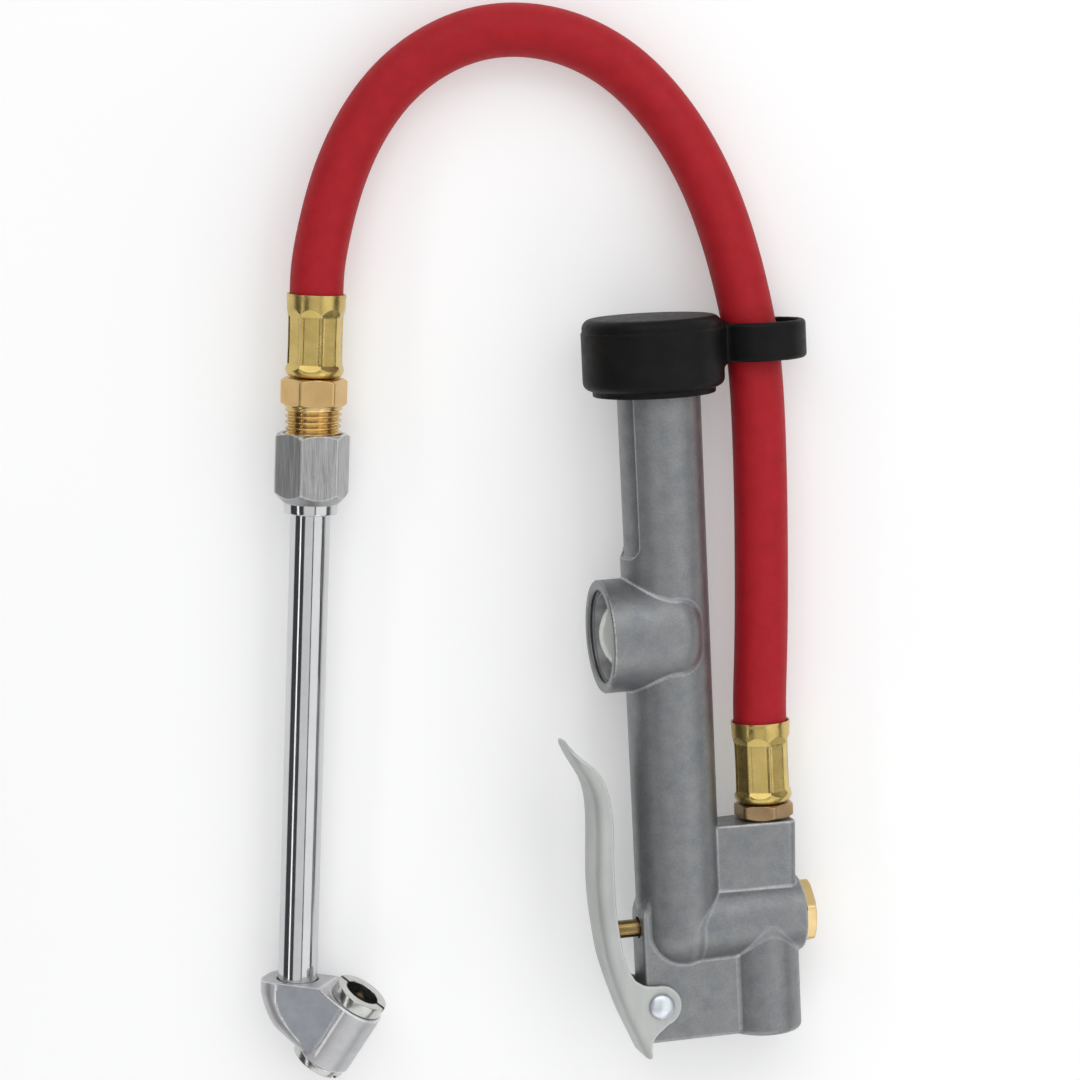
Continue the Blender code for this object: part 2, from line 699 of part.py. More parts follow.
def piston_cup(parent, material):
    """The rubber cup under the drum, its lip towards the pressure."""
    outer = GAUGE_BORE - FIT_GAP
    high = DRUM_LOW - FIT_GAP
    low = high - CUP_TALL
    profile = [
        (outer - 2 * CUP_WALL, high - CUP_WALL),
        (outer - CUP_WALL, low), (outer, low), (outer - 0.0002, high - CUP_WALL), (outer - CUP_WALL, high),
    ]
    return add_object("piston_cup", turned("piston_cup", profile, INNER_SIDES), material, parent)


def gauge_spring(parent, material):
    """The gauge spring, from the drum's floor to the end plug."""
    low = DRUM_LOW + DRUM_FLOOR + FIT_GAP + GAUGE_WIRE
    high = TUBE_TOP - END_PLUG_SHANK - FIT_GAP - GAUGE_WIRE
    report_coil_gap("gauge_spring", low, high, GAUGE_CURLS, GAUGE_WIRE)
    points = coil_points(GAUGE_COIL, low, high, GAUGE_CURLS)
    return wire("gauge_spring", points, GAUGE_WIRE, material, parent, 1)


def window_lens(parent, material):
    """The domed magnifying window."""
    back = WINDOW_FLOOR - FIT_GAP
    face = back - LENS_FLANGE
    centre = BOSS_LEFT + LENS_CURVE + 0.0001
    start = math.degrees(math.acos((centre - face) / LENS_CURVE))
    flange = WINDOW_BORE - FIT_GAP
    profile = [(flange, back), (flange, face)]
    for i in range(5, 0, -1):
        angle = math.radians(start * i / 5)
        profile.append((LENS_CURVE * math.sin(angle), centre - LENS_CURVE * math.cos(angle)))
    return add_object("window_lens", turned("window_lens", profile, FINE_SIDES), material, parent,
                      at(z=BOSS_HEIGHT) @ ALONG_X)


def lens_ring(parent, material):
    """The threaded ring that holds the window in its bore."""
    outer = WINDOW_BORE - FIT_GAP
    high = WINDOW_FLOOR - FIT_GAP - LENS_FLANGE - FIT_GAP
    low = high - RING_TALL
    mesh = sleeve("lens_ring", outer, outer - RING_WALL, low, high, FINE_SIDES, edge=0.0003)
    return add_object("lens_ring", mesh, material, parent, at(z=BOSS_HEIGHT) @ ALONG_X)


# ================================================================ lever
def smooth_line(points, count):
    """A smooth plane line through hand-set points."""
    read, _total = spline_points([(x, 0.0, z) for x, z in points], count)
    return [(point.x, point.z) for point in read]


def offset_line(points, distance):
    """Moves a plane line sideways, to its right when walking down it."""
    moved = []
    for i, (x, z) in enumerate(points):
        ax, az = points[max(i - 1, 0)]
        bx, bz = points[min(i + 1, len(points) - 1)]
        dx, dz = bx - ax, bz - az
        size = math.hypot(dx, dz)
        moved.append((x - dz / size * distance, z + dx / size * distance))
    return moved


def lever_ears():
    """The flange from its throat round the rivet and down to the tail."""
    return [*LEVER_THROAT, *arc(PIVOT_X, PIVOT_Z, LEVER_EAR, 98, -72, 9), *LEVER_TAIL]


def web_line():
    """The web's outside, from the thumb tip to the tail."""
    return smooth_line(LEVER_WEB_LINE, 24)


def web_inside_at(height):
    """Where the web's inside lies at a height."""
    line = offset_line(web_line(), LEVER_SHEET)
    for (high_x, high_z), (low_x, low_z) in zip(line, line[1:]):
        if low_z <= height <= high_z:
            share = (height - low_z) / (high_z - low_z)
            return low_x + (high_x - low_x) * share
    return line[-1][0]


def lever(parent, material):
    """The pressed steel lever: a channel whose web curves out to a thumb tip."""
    web = web_line()
    edge = smooth_line(LEVER_EDGE_LINE, 16)
    outline = web + [LEVER_TAIL_END] + lever_ears()[::-1] + edge[::-1]
    matrix = at(x=PIVOT_X, z=PIVOT_Z)
    shift = [(x - PIVOT_X, z - PIVOT_Z) for x, z in outline]
    frame = add_frame("lever_axis", parent, matrix)
    item = add_object("lever", prism("lever", shift, LEVER_HALF), material, frame)

    inner_web = offset_line(web, LEVER_SHEET)
    past_tail = LEVER_TAIL_END[1] - 0.0033
    past_tip = LEVER_WEB_LINE[0][1] + 0.0029
    inside = inner_web[2:] + [
        (inner_web[-1][0] + LEVER_SHEET, past_tail), (0.004, past_tail),
        (0.004, past_tip), (LEVER_WEB_LINE[0][0] + 0.0047, past_tip),
    ]
    inside = [(x - PIVOT_X, z - PIVOT_Z) for x, z in inside]
    half = LEVER_HALF - LEVER_SHEET
    cut_with(item, prism("lever_inside", inside, half))

    bend_cutters(item, web)

    hole = [(RIVET_SHANK + FIT_GAP, -0.01), (RIVET_SHANK + FIT_GAP, 0.01)]
    across = Matrix.Rotation(math.radians(90.0), 4, "X")
    cut_with(item, turned("lever_hole", hole, SMALL_SIDES), across)
    return item


def bend_cutters(item, web):
    """Rounds the channel's two outer bends along the web."""
    for side in (-1.0, 1.0):
        rings = []
        extended = [web[0]] + web + [web[-1]]
        for i, (x, z) in enumerate(extended):
            ax, az = extended[max(i - 2, 0)]
            bx, bz = extended[min(i + 2, len(extended) - 1)]
            direction = Vector((bx - ax, 0.0, bz - az)).normalized()
            inward = Vector((-direction.z, 0.0, direction.x))
            base = Vector((x, 0.0, z))
            if i == 0:
                base = base - direction * 0.003
            if i == len(extended) - 1:
                base = base + direction * 0.004
            ring = []
            corner = base + inward * LEVER_BEND + Vector((0.0, side * (LEVER_HALF - LEVER_BEND), 0.0))
            for k in range(4):
                angle = math.radians(90.0 * k / 3)
                ring.append(corner - inward * LEVER_BEND * math.cos(angle)
                            + Vector((0.0, side * LEVER_BEND * math.sin(angle), 0.0)))
            ring.append(base + inward * LEVER_BEND + Vector((0.0, side * (LEVER_HALF + 0.002), 0.0)))
            ring.append(base - inward * 0.002 + Vector((0.0, side * (LEVER_HALF + 0.002), 0.0)))
            ring.append(base - inward * 0.002 + Vector((0.0, side * (LEVER_HALF - LEVER_BEND), 0.0)))
            rings.append([(p.x - PIVOT_X, p.y, p.z - PIVOT_Z) for p in ring])
        cut_with(item, loft("bend_cut", rings))


def lever_rivet(parent, material):
    """The domed rivet through the lever's ears and the tab."""
    face = LEVER_HALF + FIT_GAP
    top = face + RIVET_DOME
    profile = [(RIVET_HEAD * math.sin(math.radians(a)), -face - RIVET_DOME * math.cos(math.radians(a)))
                for a in (22, 45, 68, 90)]
    profile += [(RIVET_SHANK, -face), (RIVET_SHANK, face)]
    profile += [(RIVET_HEAD * math.sin(math.radians(a)), face + RIVET_DOME * math.cos(math.radians(a)))
                for a in (90, 68, 45, 22)]
    across = Matrix.Rotation(math.radians(90.0), 4, "X")
    return add_object("lever_rivet", turned("lever_rivet", profile, SMALL_SIDES), material, parent,
                      at(x=PIVOT_X, z=PIVOT_Z) @ across)


# ================================================================ valve works
def seat_face():
    """Where the poppet's rubber face meets the seat's lip."""
    return CHAMBER_LEFT + FIT_GAP + SEAT_THICK + SEAT_LIP


def push_pin(parent, material):
    """The brass pin between the lever and the poppet, with a groove for its seal."""
    end = seat_face()
    groove = PIN_RADIUS - 0.0008
    tip = web_inside_at(0.0) + FIT_GAP
    profile = [(PIN_RADIUS * math.sin(math.radians(a)), tip + PIN_RADIUS * (1 - math.cos(math.radians(a))))
                for a in (22, 45, 68, 90)]
    profile += [
        (PIN_RADIUS, PIN_GROOVE_X - PIN_GROOVE_WIDE / 2), (groove, PIN_GROOVE_X - PIN_GROOVE_WIDE / 2),
        (groove, PIN_GROOVE_X + PIN_GROOVE_WIDE / 2), (PIN_RADIUS, PIN_GROOVE_X + PIN_GROOVE_WIDE / 2),
        (PIN_RADIUS, end),
    ]
    return add_object("push_pin", turned("push_pin", profile, SMALL_SIDES), material, parent, ALONG_X)


def seal_ring(name, parent, material, major, minor, matrix, sides=SMALL_SIDES):
    """An O-ring."""
    profile = arc(major, 0.0, minor, 0, 300, 5)
    return add_object(name, turned(name, profile, sides, closed=True), material, parent, matrix)


def pin_seal(parent, material):
    """The O-ring in the pin's groove."""
    groove = PIN_RADIUS - 0.0008
    major = (groove + PIN_GUIDE) / 2
    return seal_ring("pin_seal", parent, material, major, ORING_WIRE, at(x=PIN_GROOVE_X) @ ALONG_X)


def valve_seat(parent, material):
    """The brass seat ring at the head of the inlet chamber."""
    low = CHAMBER_LEFT + FIT_GAP
    outer = CHAMBER_BORE - FIT_GAP
    profile = [
        (SEAT_HOLE, low), (outer, low), (outer, low + SEAT_THICK), (SEAT_HOLE + 0.0011, low + SEAT_THICK),
        (SEAT_HOLE + 0.0006, low + SEAT_THICK + SEAT_LIP), (SEAT_HOLE, low + SEAT_THICK + SEAT_LIP),
    ]
    return add_object("valve_seat", turned("valve_seat", profile, INNER_SIDES, closed=True), material, parent, ALONG_X)


def valve_poppet(parent, material):
    """The rubber-faced poppet that the spring holds on the seat."""
    low = seat_face() + FIT_GAP
    high = low + POPPET_THICK
    nose = VALVE_COIL - VALVE_WIRE - FIT_GAP
    profile = [
        (POPPET_RADIUS - 0.0003, low), (POPPET_RADIUS, low + 0.0003), (POPPET_RADIUS, high),
        (nose, high), (nose - 0.0003, high + POPPET_NOSE),
    ]
    return add_object("valve_poppet", turned("valve_poppet", profile, INNER_SIDES), material, parent, ALONG_X)


def valve_spring(parent, material):
    """The spring between the poppet and the plug."""
    low = seat_face() + FIT_GAP + POPPET_THICK + FIT_GAP + VALVE_WIRE
    high = PLUG_CUP_FLOOR - FIT_GAP - VALVE_WIRE
    report_coil_gap("valve_spring", low, high, VALVE_CURLS, VALVE_WIRE)
    points = coil_points(VALVE_COIL, low, high, VALVE_CURLS)
    return wire("valve_spring", points, VALVE_WIRE, material, parent, 1, ALONG_X)


def valve_plug(parent, material):
    """The brass hexagon plug that closes the valve barrel and holds the spring."""
    low = VALVE_END + FIT_GAP
    corner = PLUG_HEX / math.sqrt(3.0)
    head = hex_bar("valve_plug", PLUG_HEX, [
        (low, corner), (low + PLUG_HEAD - 0.0005, corner), (low + PLUG_HEAD, corner - 0.0006),
    ], math.radians(90.0) - PLUG_TURN)
    item = add_object("valve_plug", head, material, parent, ALONG_X)
    outer = CHAMBER_BORE - THREAD_GAP
    groove = outer - 0.0012
    left = PLUG_GROOVE_X - PLUG_GROOVE_WIDE / 2
    right = PLUG_GROOVE_X + PLUG_GROOVE_WIDE / 2
    shank = [
        (PLUG_CUP, PLUG_CUP_FLOOR), (PLUG_CUP, PLUG_SHANK_LEFT),
        (outer - 0.0003, PLUG_SHANK_LEFT), (outer, PLUG_SHANK_LEFT + 0.0003), (outer, left), (groove, left),
        (groove, right), (outer, right), (outer, low + PLUG_HEAD - 0.0008),
    ]
    join_with(item, turned("plug_body", shank, INNER_SIDES))
    return item


def plug_seal(parent, material):
    """The O-ring in the plug's groove."""
    major = CHAMBER_BORE - FIT_GAP - PLUG_RING_WIRE
    return seal_ring("plug_seal", parent, material, major, PLUG_RING_WIRE, at(x=PLUG_GROOVE_X) @ ALONG_X,
                     INNER_SIDES)


# ================================================================ hose fittings
def barbed_stem(low, high):
    """Outer profile of a barbed hose stem, from its root up."""
    points = [(STEM_RADIUS, low)]
    count = STEM_BARBS
    pitch = (high - low - 0.002) / count
    for i in range(count):
        start = low + 0.002 + pitch * i
        points += [(STEM_RADIUS, start), (STEM_BARB, start + 0.0002), (STEM_RADIUS, start + pitch * 0.8)]
    points.append((STEM_RADIUS - 0.0003, high))
    return points


def body_fitting(parent, material):
    """The brass hose end that screws into the body's shelf."""
    low = BLOCK_TOP + FIT_GAP + 0.0001
    high = low + BODY_HEX_TALL
    limit = BODY_HEX / math.sqrt(3.0) - 0.0002
    hexagon = hex_bar("body_fitting", BODY_HEX, [
        (low, limit - 0.0006), (low + 0.0004, limit), (high - 0.0004, limit), (high, limit - 0.0006),
    ], BODY_HEX_TURN)
    item = add_object("body_fitting", hexagon, material, parent, at(x=HOSE_PORT_X))
    shank = HOSE_PORT_BORE - THREAD_GAP
    profile = [
        (shank - 0.0006, low - BODY_SHANK), (shank, low - BODY_SHANK + 0.0008),
        (shank, low + 0.0005), (STEM_RADIUS, high - 0.0005),
    ]
    top = high + FERRULE_LONG - HOSE_MOUTH - 0.0012
    profile += barbed_stem(high, top)
    join_with(item, turned("stem", profile, INNER_SIDES))
    cut_with(item, turned("stem_bore", [(STEM_BORE, low - BODY_SHANK - 0.001), (STEM_BORE, top + 0.001)], SMALL_SIDES))
    return item


def ferrule_mesh(name, turn):
    """A crimped hose ferrule: round bead, eight pressed flats, shoulder and flared mouth."""
    long = FERRULE_LONG
    stations = [
        (0.0, FERRULE_BEAD - 0.0012, 0.0), (0.0006, FERRULE_BEAD - 0.0003, 0.0), (0.0014, FERRULE_BEAD, 0.0),
        (0.0027, FERRULE_BEAD - 0.0001, 0.0), (0.0041, FERRULE_WAIST, 1.0), (0.0135, FERRULE_WAIST, 1.0),
        (0.0150, FERRULE_BAND - 0.0004, 0.0), (long - 0.0012, FERRULE_BAND - 0.0002, 0.0),
        (long, FERRULE_BAND, 0.0),
    ]
    sides = FERRULE_FLATS * 4
    half = math.pi / FERRULE_FLATS
    rings = []
    for height, radius, flat in stations:
        ring = []
        for i in range(sides):
            angle = 2 * math.pi * i / sides
            local = angle % (2 * half) - half
            pressed = min(FERRULE_FLAT / math.cos(local), FERRULE_WAIST)
            reach = radius + (pressed - radius) * flat
            ring.append((reach * math.cos(angle + turn), reach * math.sin(angle + turn), height))
        rings.append(ring)
    mouth = HOSE_RADIUS + FIT_GAP
    inner = FERRULE_FLAT - FERRULE_WALL
    for radius, height in [
        (mouth, long), (mouth, long - HOSE_MOUTH), (inner, long - HOSE_MOUTH - 0.0008), (inner, FERRULE_FLOOR),
        (STEM_RADIUS + FIT_GAP, 0.0),
    ]:
        rings.append([
            (radius * math.cos(2 * math.pi * i / sides + turn), radius * math.sin(2 * math.pi * i / sides + turn), height)
            for i in range(sides)
        ])
    return loft(name, rings, closed=True)


def hose_end(name, parent, material, matrix):
    """The stretch of hose that a ferrule squeezes onto its stem."""
    outer = FERRULE_FLAT - FERRULE_WALL - FIT_GAP
    mesh = sleeve(name, outer, SLEEVE_INNER, FERRULE_FLOOR + FIT_GAP, FERRULE_LONG - HOSE_MOUTH - 0.0008, INNER_SIDES)
    return add_object(name, mesh, material, parent, matrix)


# ================================================================ chuck
def hose_adapter(parent, material):
    """The brass male fitting between the hose and the coupling."""
    limit = ADAPTER_HEX / math.sqrt(3.0) - 0.0001
    hexagon = hex_bar("hose_adapter", ADAPTER_HEX, [
        (ADAPTER_HEX_LOW, limit - 0.0006), (ADAPTER_HEX_LOW + 0.0005, limit),
        (ADAPTER_HEX_HIGH - 0.0005, limit), (ADAPTER_HEX_HIGH, limit - 0.0006),
    ], ADAPTER_TURN)
    item = add_object("hose_adapter", hexagon, material, parent)
    top = ADAPTER_HEX_HIGH + FERRULE_LONG - HOSE_MOUTH - 0.0012
    profile = [
        (THREAD_RADIUS - THREAD_TAPER - 0.0006, THREAD_LOW),
        (THREAD_RADIUS - THREAD_TAPER, THREAD_LOW + 0.0008), (THREAD_RADIUS, ADAPTER_HEX_LOW - 0.0008),
        (THREAD_RADIUS - 0.0007, ADAPTER_HEX_LOW - 0.0002), (THREAD_RADIUS - 0.0007, ADAPTER_HEX_LOW + 0.001),
        (STEM_RADIUS, ADAPTER_HEX_HIGH - 0.0005),
    ]
    profile += barbed_stem(ADAPTER_HEX_HIGH, top)
    join_with(item, turned("adapter_stem", profile, INNER_SIDES))
    cut_with(item, turned("adapter_bore", [(STEM_BORE, THREAD_LOW - 0.001), (STEM_BORE, top + 0.001)], SMALL_SIDES))
    return item


def hex_coupling(parent, material):
    """The chromed hexagon coupling with its lower collar."""
    corner = COUPLING_HEX / math.sqrt(3.0)
    hexagon = hex_bar("hex_coupling", COUPLING_HEX, [
        (COUPLING_LOW, COLLAR_WIDE), (COUPLING_LOW + COUPLING_CONE, corner),
        (COUPLING_HIGH - COUPLING_CHAMFER, corner), (COUPLING_HIGH, corner - 0.0011),
    ], math.radians(-90.0) + COUPLING_TURN)
    item = add_object("hex_coupling", hexagon, material, parent)
    collar = [
        (COLLAR_WIDE - 0.0004, COLLAR_BOTTOM), (COLLAR_WIDE, COLLAR_BOTTOM + 0.0004),
        (COLLAR_WIDE, COUPLING_LOW + 0.0003), (COLLAR_WIDE - 0.0007, COUPLING_LOW + 0.0012),
    ]
    join_with(item, turned("collar", collar))
    tube_hole = CHUCK_TUBE_RADIUS + FIT_GAP
    thread_hole = THREAD_RADIUS + THREAD_GAP
    depth = THREAD_LOW - 0.0008
    bore = [
        (tube_hole, COLLAR_BOTTOM - 0.001), (tube_hole, depth), (thread_hole, depth),
        (thread_hole, COUPLING_HIGH + 0.001),
    ]
    cut_with(item, turned("coupling_bore", bore, INNER_SIDES))
    return item


def chuck_tube(parent, material):
    """The chromed pipe."""
    mesh = sleeve("chuck_tube", CHUCK_TUBE_RADIUS, CHUCK_TUBE_BORE, CHUCK_TUBE_LOW, CHUCK_TUBE_HIGH, ROUND_SIDES)
    return add_object("chuck_tube", mesh, material, parent)


def foot_matrix():
    """Places the foot barrel: its z runs from the rear foot to the front foot."""
    return at(x=FOOT_X, z=FOOT_Z) @ Matrix.Rotation(FOOT_ANGLE, 4, "Y")


def head_outline():
    """The head's side outline: (x, z, how far it draws in with the rounding)."""
    axis = Vector((math.sin(FOOT_ANGLE), math.cos(FOOT_ANGLE)))
    side = Vector((axis.y, -axis.x))
    centre = Vector((FOOT_X, FOOT_Z))
    low_left = centre - axis * FOOT_HALF - side * (FOOT_RADIUS - 0.0010)
    low_mid = centre - axis * (FOOT_HALF - 0.0004)
    high_mid = centre + axis * (FOOT_HALF - 0.0002)
    left = [
        (HEAD_LEFT, 0.0), (HEAD_LEFT, -0.0022), (-0.0086, -0.0046), (-0.0079, -0.0071), (-0.0067, -0.0096),
        (-0.0046, -0.0125), (-0.0021, -0.0146), (low_left.x, low_left.y),
    ]
    right = [(low_mid.x, low_mid.y), (high_mid.x, high_mid.y), (HEAD_BEND, 0.0)]
    return left, right


def chuck_head(parent, material):
    """The chuck's cast head: a rounded cheek that runs into the barrel of the two feet."""
    left, right = head_outline()
    normals = []
    for i, (x, z) in enumerate(left):
        ax, az = left[max(i - 1, 0)]
        bx, bz = left[min(i + 1, len(left) - 1)]
        direction = Vector((bx - ax, bz - az)).normalized()
        normals.append(Vector((-direction.y, direction.x)))
    normals[0] = Vector((1.0, 0.0))
    levels = 9
    rings = []
    for k in range(levels):
        lean = -1.0 + 2.0 * k / (levels - 1)
        level = HEAD_HALF * math.sin(math.radians(90.0 * lean))
        inset = HEAD_ROUND * (1.0 - math.sqrt(max(1.0 - (level / HEAD_HALF) ** 2, 0.0)))
        ring = [(x + n.x * inset, level, z + n.y * inset) for (x, z), n in zip(left, normals)]
        ring += [(x, level, z) for x, z in right]
        rings.append(ring)
    item = add_object("chuck_head", loft("chuck_head", rings), material, parent)

    barrel = [
        (FOOT_RADIUS - 0.0005, -FOOT_HALF), (FOOT_RADIUS, -FOOT_HALF + 0.0005),
        (FOOT_RADIUS, FOOT_HALF - 0.0005), (FOOT_RADIUS - 0.0005, FOOT_HALF),
    ]
    join_with(item, turned("foot_barrel", barrel), foot_matrix())
    reach = 0.003
    bore = [
        (FOOT_BORE, -FOOT_HALF - reach), (FOOT_BORE, -FOOT_SHOULDER),
        (FOOT_INNER_BORE, -FOOT_SHOULDER), (FOOT_INNER_BORE, FOOT_SHOULDER), (FOOT_BORE, FOOT_SHOULDER),
        (FOOT_BORE, FOOT_HALF + reach),
    ]
    cut_with(item, turned("foot_bore", bore, INNER_SIDES), foot_matrix())
    hole = CHUCK_TUBE_RADIUS + FIT_GAP
    socket_floor = CHUCK_TUBE_LOW - 0.0006
    socket = [(hole, socket_floor), (hole, reach)]
    cut_with(item, turned("tube_socket", socket, INNER_SIDES))
    start = Vector((0.0015, 0.0, socket_floor + 0.0008))
    finish = Vector((FOOT_X, 0.0, FOOT_Z))
    way = finish - start
    passage = [(0.0018, 0.0), (0.0018, way.length)]
    turn = way.to_track_quat("Z", "Y").to_matrix().to_4x4()
    cut_with(item, turned("head_passage", passage, SMALL_SIDES), Matrix.Translation(start) @ turn)
    panel_cutters(item)
    return item


def panel_cutters(item):
    """The shallow three-cornered panel on each cheek."""
    outline = [
        (-0.0026, 0.0010), (-0.0027, -0.0046), (-0.0014, -0.0072), (0.0012, -0.0101), (0.0072, -0.0158),
        (0.0094, -0.0132), (0.0136, -0.0061), (0.0142, -0.0040), (0.0082, 0.0010),
    ]
    for side in (-1.0, 1.0):
        middle = (0.0050, -0.0060)
        rings = []
        for depth, grow in ((HEAD_HALF - HEAD_PANEL, 0.95), (HEAD_HALF + 0.002, 1.08)):
            rings.append([
                (middle[0] + (x - middle[0]) * grow, side * depth, middle[1] + (z - middle[1]) * grow)
                for x, z in outline
            ])
        cut_with(item, loft("panel_cut", rings))


def foot_cap(name, parent, material, tall, turn):
    """A slotted cap ring that holds a foot's washer."""
    low = FOOT_HALF + FIT_GAP
    high = low + tall
    shank = FOOT_BORE - THREAD_GAP
    profile = [
        (CAP_BORE, low - CAP_SHANK), (shank, low - CAP_SHANK), (shank, low), (CAP_RADIUS - CAP_EDGE, low),
        (CAP_RADIUS, low + CAP_EDGE), (CAP_RADIUS, high - CAP_EDGE), (CAP_RADIUS - CAP_EDGE, high),
        (CAP_BORE + CAP_EDGE, high), (CAP_BORE, high - CAP_EDGE),
    ]
    matrix = foot_matrix() @ turn
    item = add_object(name, turned(name, profile, closed=True), material, parent, matrix)
    half = CAP_SLOT / 2
    slot = [(-0.01, -half), (0.01, -half), (0.01, half), (-0.01, half)]
    cut_with(item, prism("slot", slot, (high - CAP_SLOT_DEPTH, high + 0.002), axis="Z"))
    return item


def foot_washer(name, parent, material, turn):
    """The rubber washer that seals on a tire valve."""
    low = FOOT_SHOULDER + FIT_GAP
    high = FOOT_HALF - CAP_SHANK
    mesh = sleeve(name, FOOT_BORE - FIT_GAP, WASHER_HOLE, low, high, INNER_SIDES)
    return add_object(name, mesh, material, parent, foot_matrix() @ turn)


def foot_plunger(name, parent, material, turn):
    """The spring-loaded plunger that a tire valve's core pushes in."""
    high = FOOT_SHOULDER
    low = high - PLUNGER_THICK
    profile = [
        (PLUNGER_RADIUS - 0.0003, low), (PLUNGER_RADIUS, low + 0.0003), (PLUNGER_RADIUS, high),
        (PLUNGER_STEM, high), (PLUNGER_STEM, PLUNGER_REACH - 0.0003), (PLUNGER_STEM - 0.0003, PLUNGER_REACH),
    ]
    return add_object(name, turned(name, profile, SMALL_SIDES), material, parent, foot_matrix() @ turn)


def foot_spring(parent, material):
    """The spring between the two plungers."""
    end = FOOT_SHOULDER - PLUNGER_THICK - FIT_GAP - FOOT_WIRE
    report_coil_gap("foot_spring", -end, end, FOOT_CURLS, FOOT_WIRE)
    points = coil_points(FOOT_COIL, -end, end, FOOT_CURLS)
    return wire("foot_spring", points, FOOT_WIRE, material, parent, 1, foot_matrix())


# ================================================================ laying down and the hose
def lying(place, height, yaw, pitch, roll):
    """Lays an upright frame on its back: its z runs along +Y, its viewer side faces up."""
    turn = (
        Matrix.Rotation(yaw, 4, "Z")
        @ Matrix.Rotation(pitch - math.radians(90.0), 4, "X")
        @ Matrix.Rotation(roll, 4, "Z")
    )
    return Matrix.Translation((*place, height)) @ turn


def world_points(frame):
    """Every corner of the pieces under a frame, in world space."""
    bpy.context.view_layer.update()
    graph = bpy.context.evaluated_depsgraph_get()
    points = []
    for item in frame.children_recursive:
        if item.type == "EMPTY" or item.hide_render:
            continue
        shape = item.evaluated_get(graph)
        world = item.matrix_world
        points += [world @ vertex.co for vertex in shape.to_mesh().vertices]
        shape.to_mesh_clear()
    return points


def settle(frame):
    """Lowers a frame until its lowest piece touches the floor, and returns its points there."""
    points = world_points(frame)
    lowest = min(point.z for point in points)
    frame.location.z -= lowest
    return points


def centre(frames, points):
    """Shifts the frames so that the origin lies under the middle of their box, and returns the shift."""
    middle = [
        (min(point[k] for point in points) + max(point[k] for point in points)) / 2
        for k in range(2)
    ]
    for frame in frames:
        frame.location.x -= middle[0]
        frame.location.y -= middle[1]
    bpy.context.view_layer.update()
    print(f"origin at {middle[0] * 1000:.3f}, {middle[1] * 1000:.3f} mm from the valve's drawing origin")
    return Vector((-middle[0], -middle[1], 0.0))


def hose_route(start, start_way, end, end_way, shift):
    """The hose's own points: out of the body's ferrule, through the loop, round the arch to the chuck."""
    middle = [
        (0.05258, -0.0290, 0.0110), (0.05268, -0.0205, 0.0110), (0.05268, -0.01306, 0.0110),
        (0.05245, 0.00609, 0.0110), (0.05200, 0.0220, 0.0110),
        (0.05125, 0.0370, 0.0110), (0.05000, 0.0489, 0.0109), (0.04792, 0.0590, 0.0105),
        (0.04500, 0.0704, 0.0097), (0.04115, 0.0817, 0.0087), (0.03700, 0.0906, 0.0079),
        (0.03240, 0.0984, 0.0072), (0.02710, 0.1052, 0.0068), (0.02130, 0.1112, 0.0066),
        (0.01450, 0.1160, 0.0065), (0.00700, 0.1195, 0.0065), (-0.00120, 0.1214, 0.0065),
        (-0.00960, 0.1216, 0.0065), (-0.01790, 0.1199, 0.0066), (-0.02550, 0.1163, 0.0068),
        (-0.03230, 0.1114, 0.0071), (-0.03790, 0.1053, 0.0075), (-0.04250, 0.0982, 0.0080),
        (-0.04622, 0.0903, 0.0087), (-0.04910, 0.0817, 0.0094), (-0.05097, 0.0735, 0.0100),
    ]
    middle = [Vector(point) + shift for point in middle]
    first = [start, start + start_way * 0.007]
    last = [end + end_way * 0.010, end]
    return first + middle + last


def hose(parent, material, start_frame, end_frame, shift):
    """The rubber hose, from one ferrule's mouth to the other's."""
    up = Vector((0.0, 0.0, 1.0))
    mouths = []
    for frame in (start_frame, end_frame):
        world = frame.matrix_world
        base = world @ Vector((0.0, 0.0, FERRULE_LONG - HOSE_MOUTH + FIT_GAP - 0.0005))
        mouths.append((base, (world.to_3x3() @ up).normalized()))
    route = hose_route(*mouths[0], *mouths[1], shift)
    count = HOSE_POINTS
    points, total = spline_points(route, count)
    print(f"hose: {total * 1000:.1f} mm between the ferrules' mouths")
    return wire("hose", points, HOSE_RADIUS, material, parent, 3)


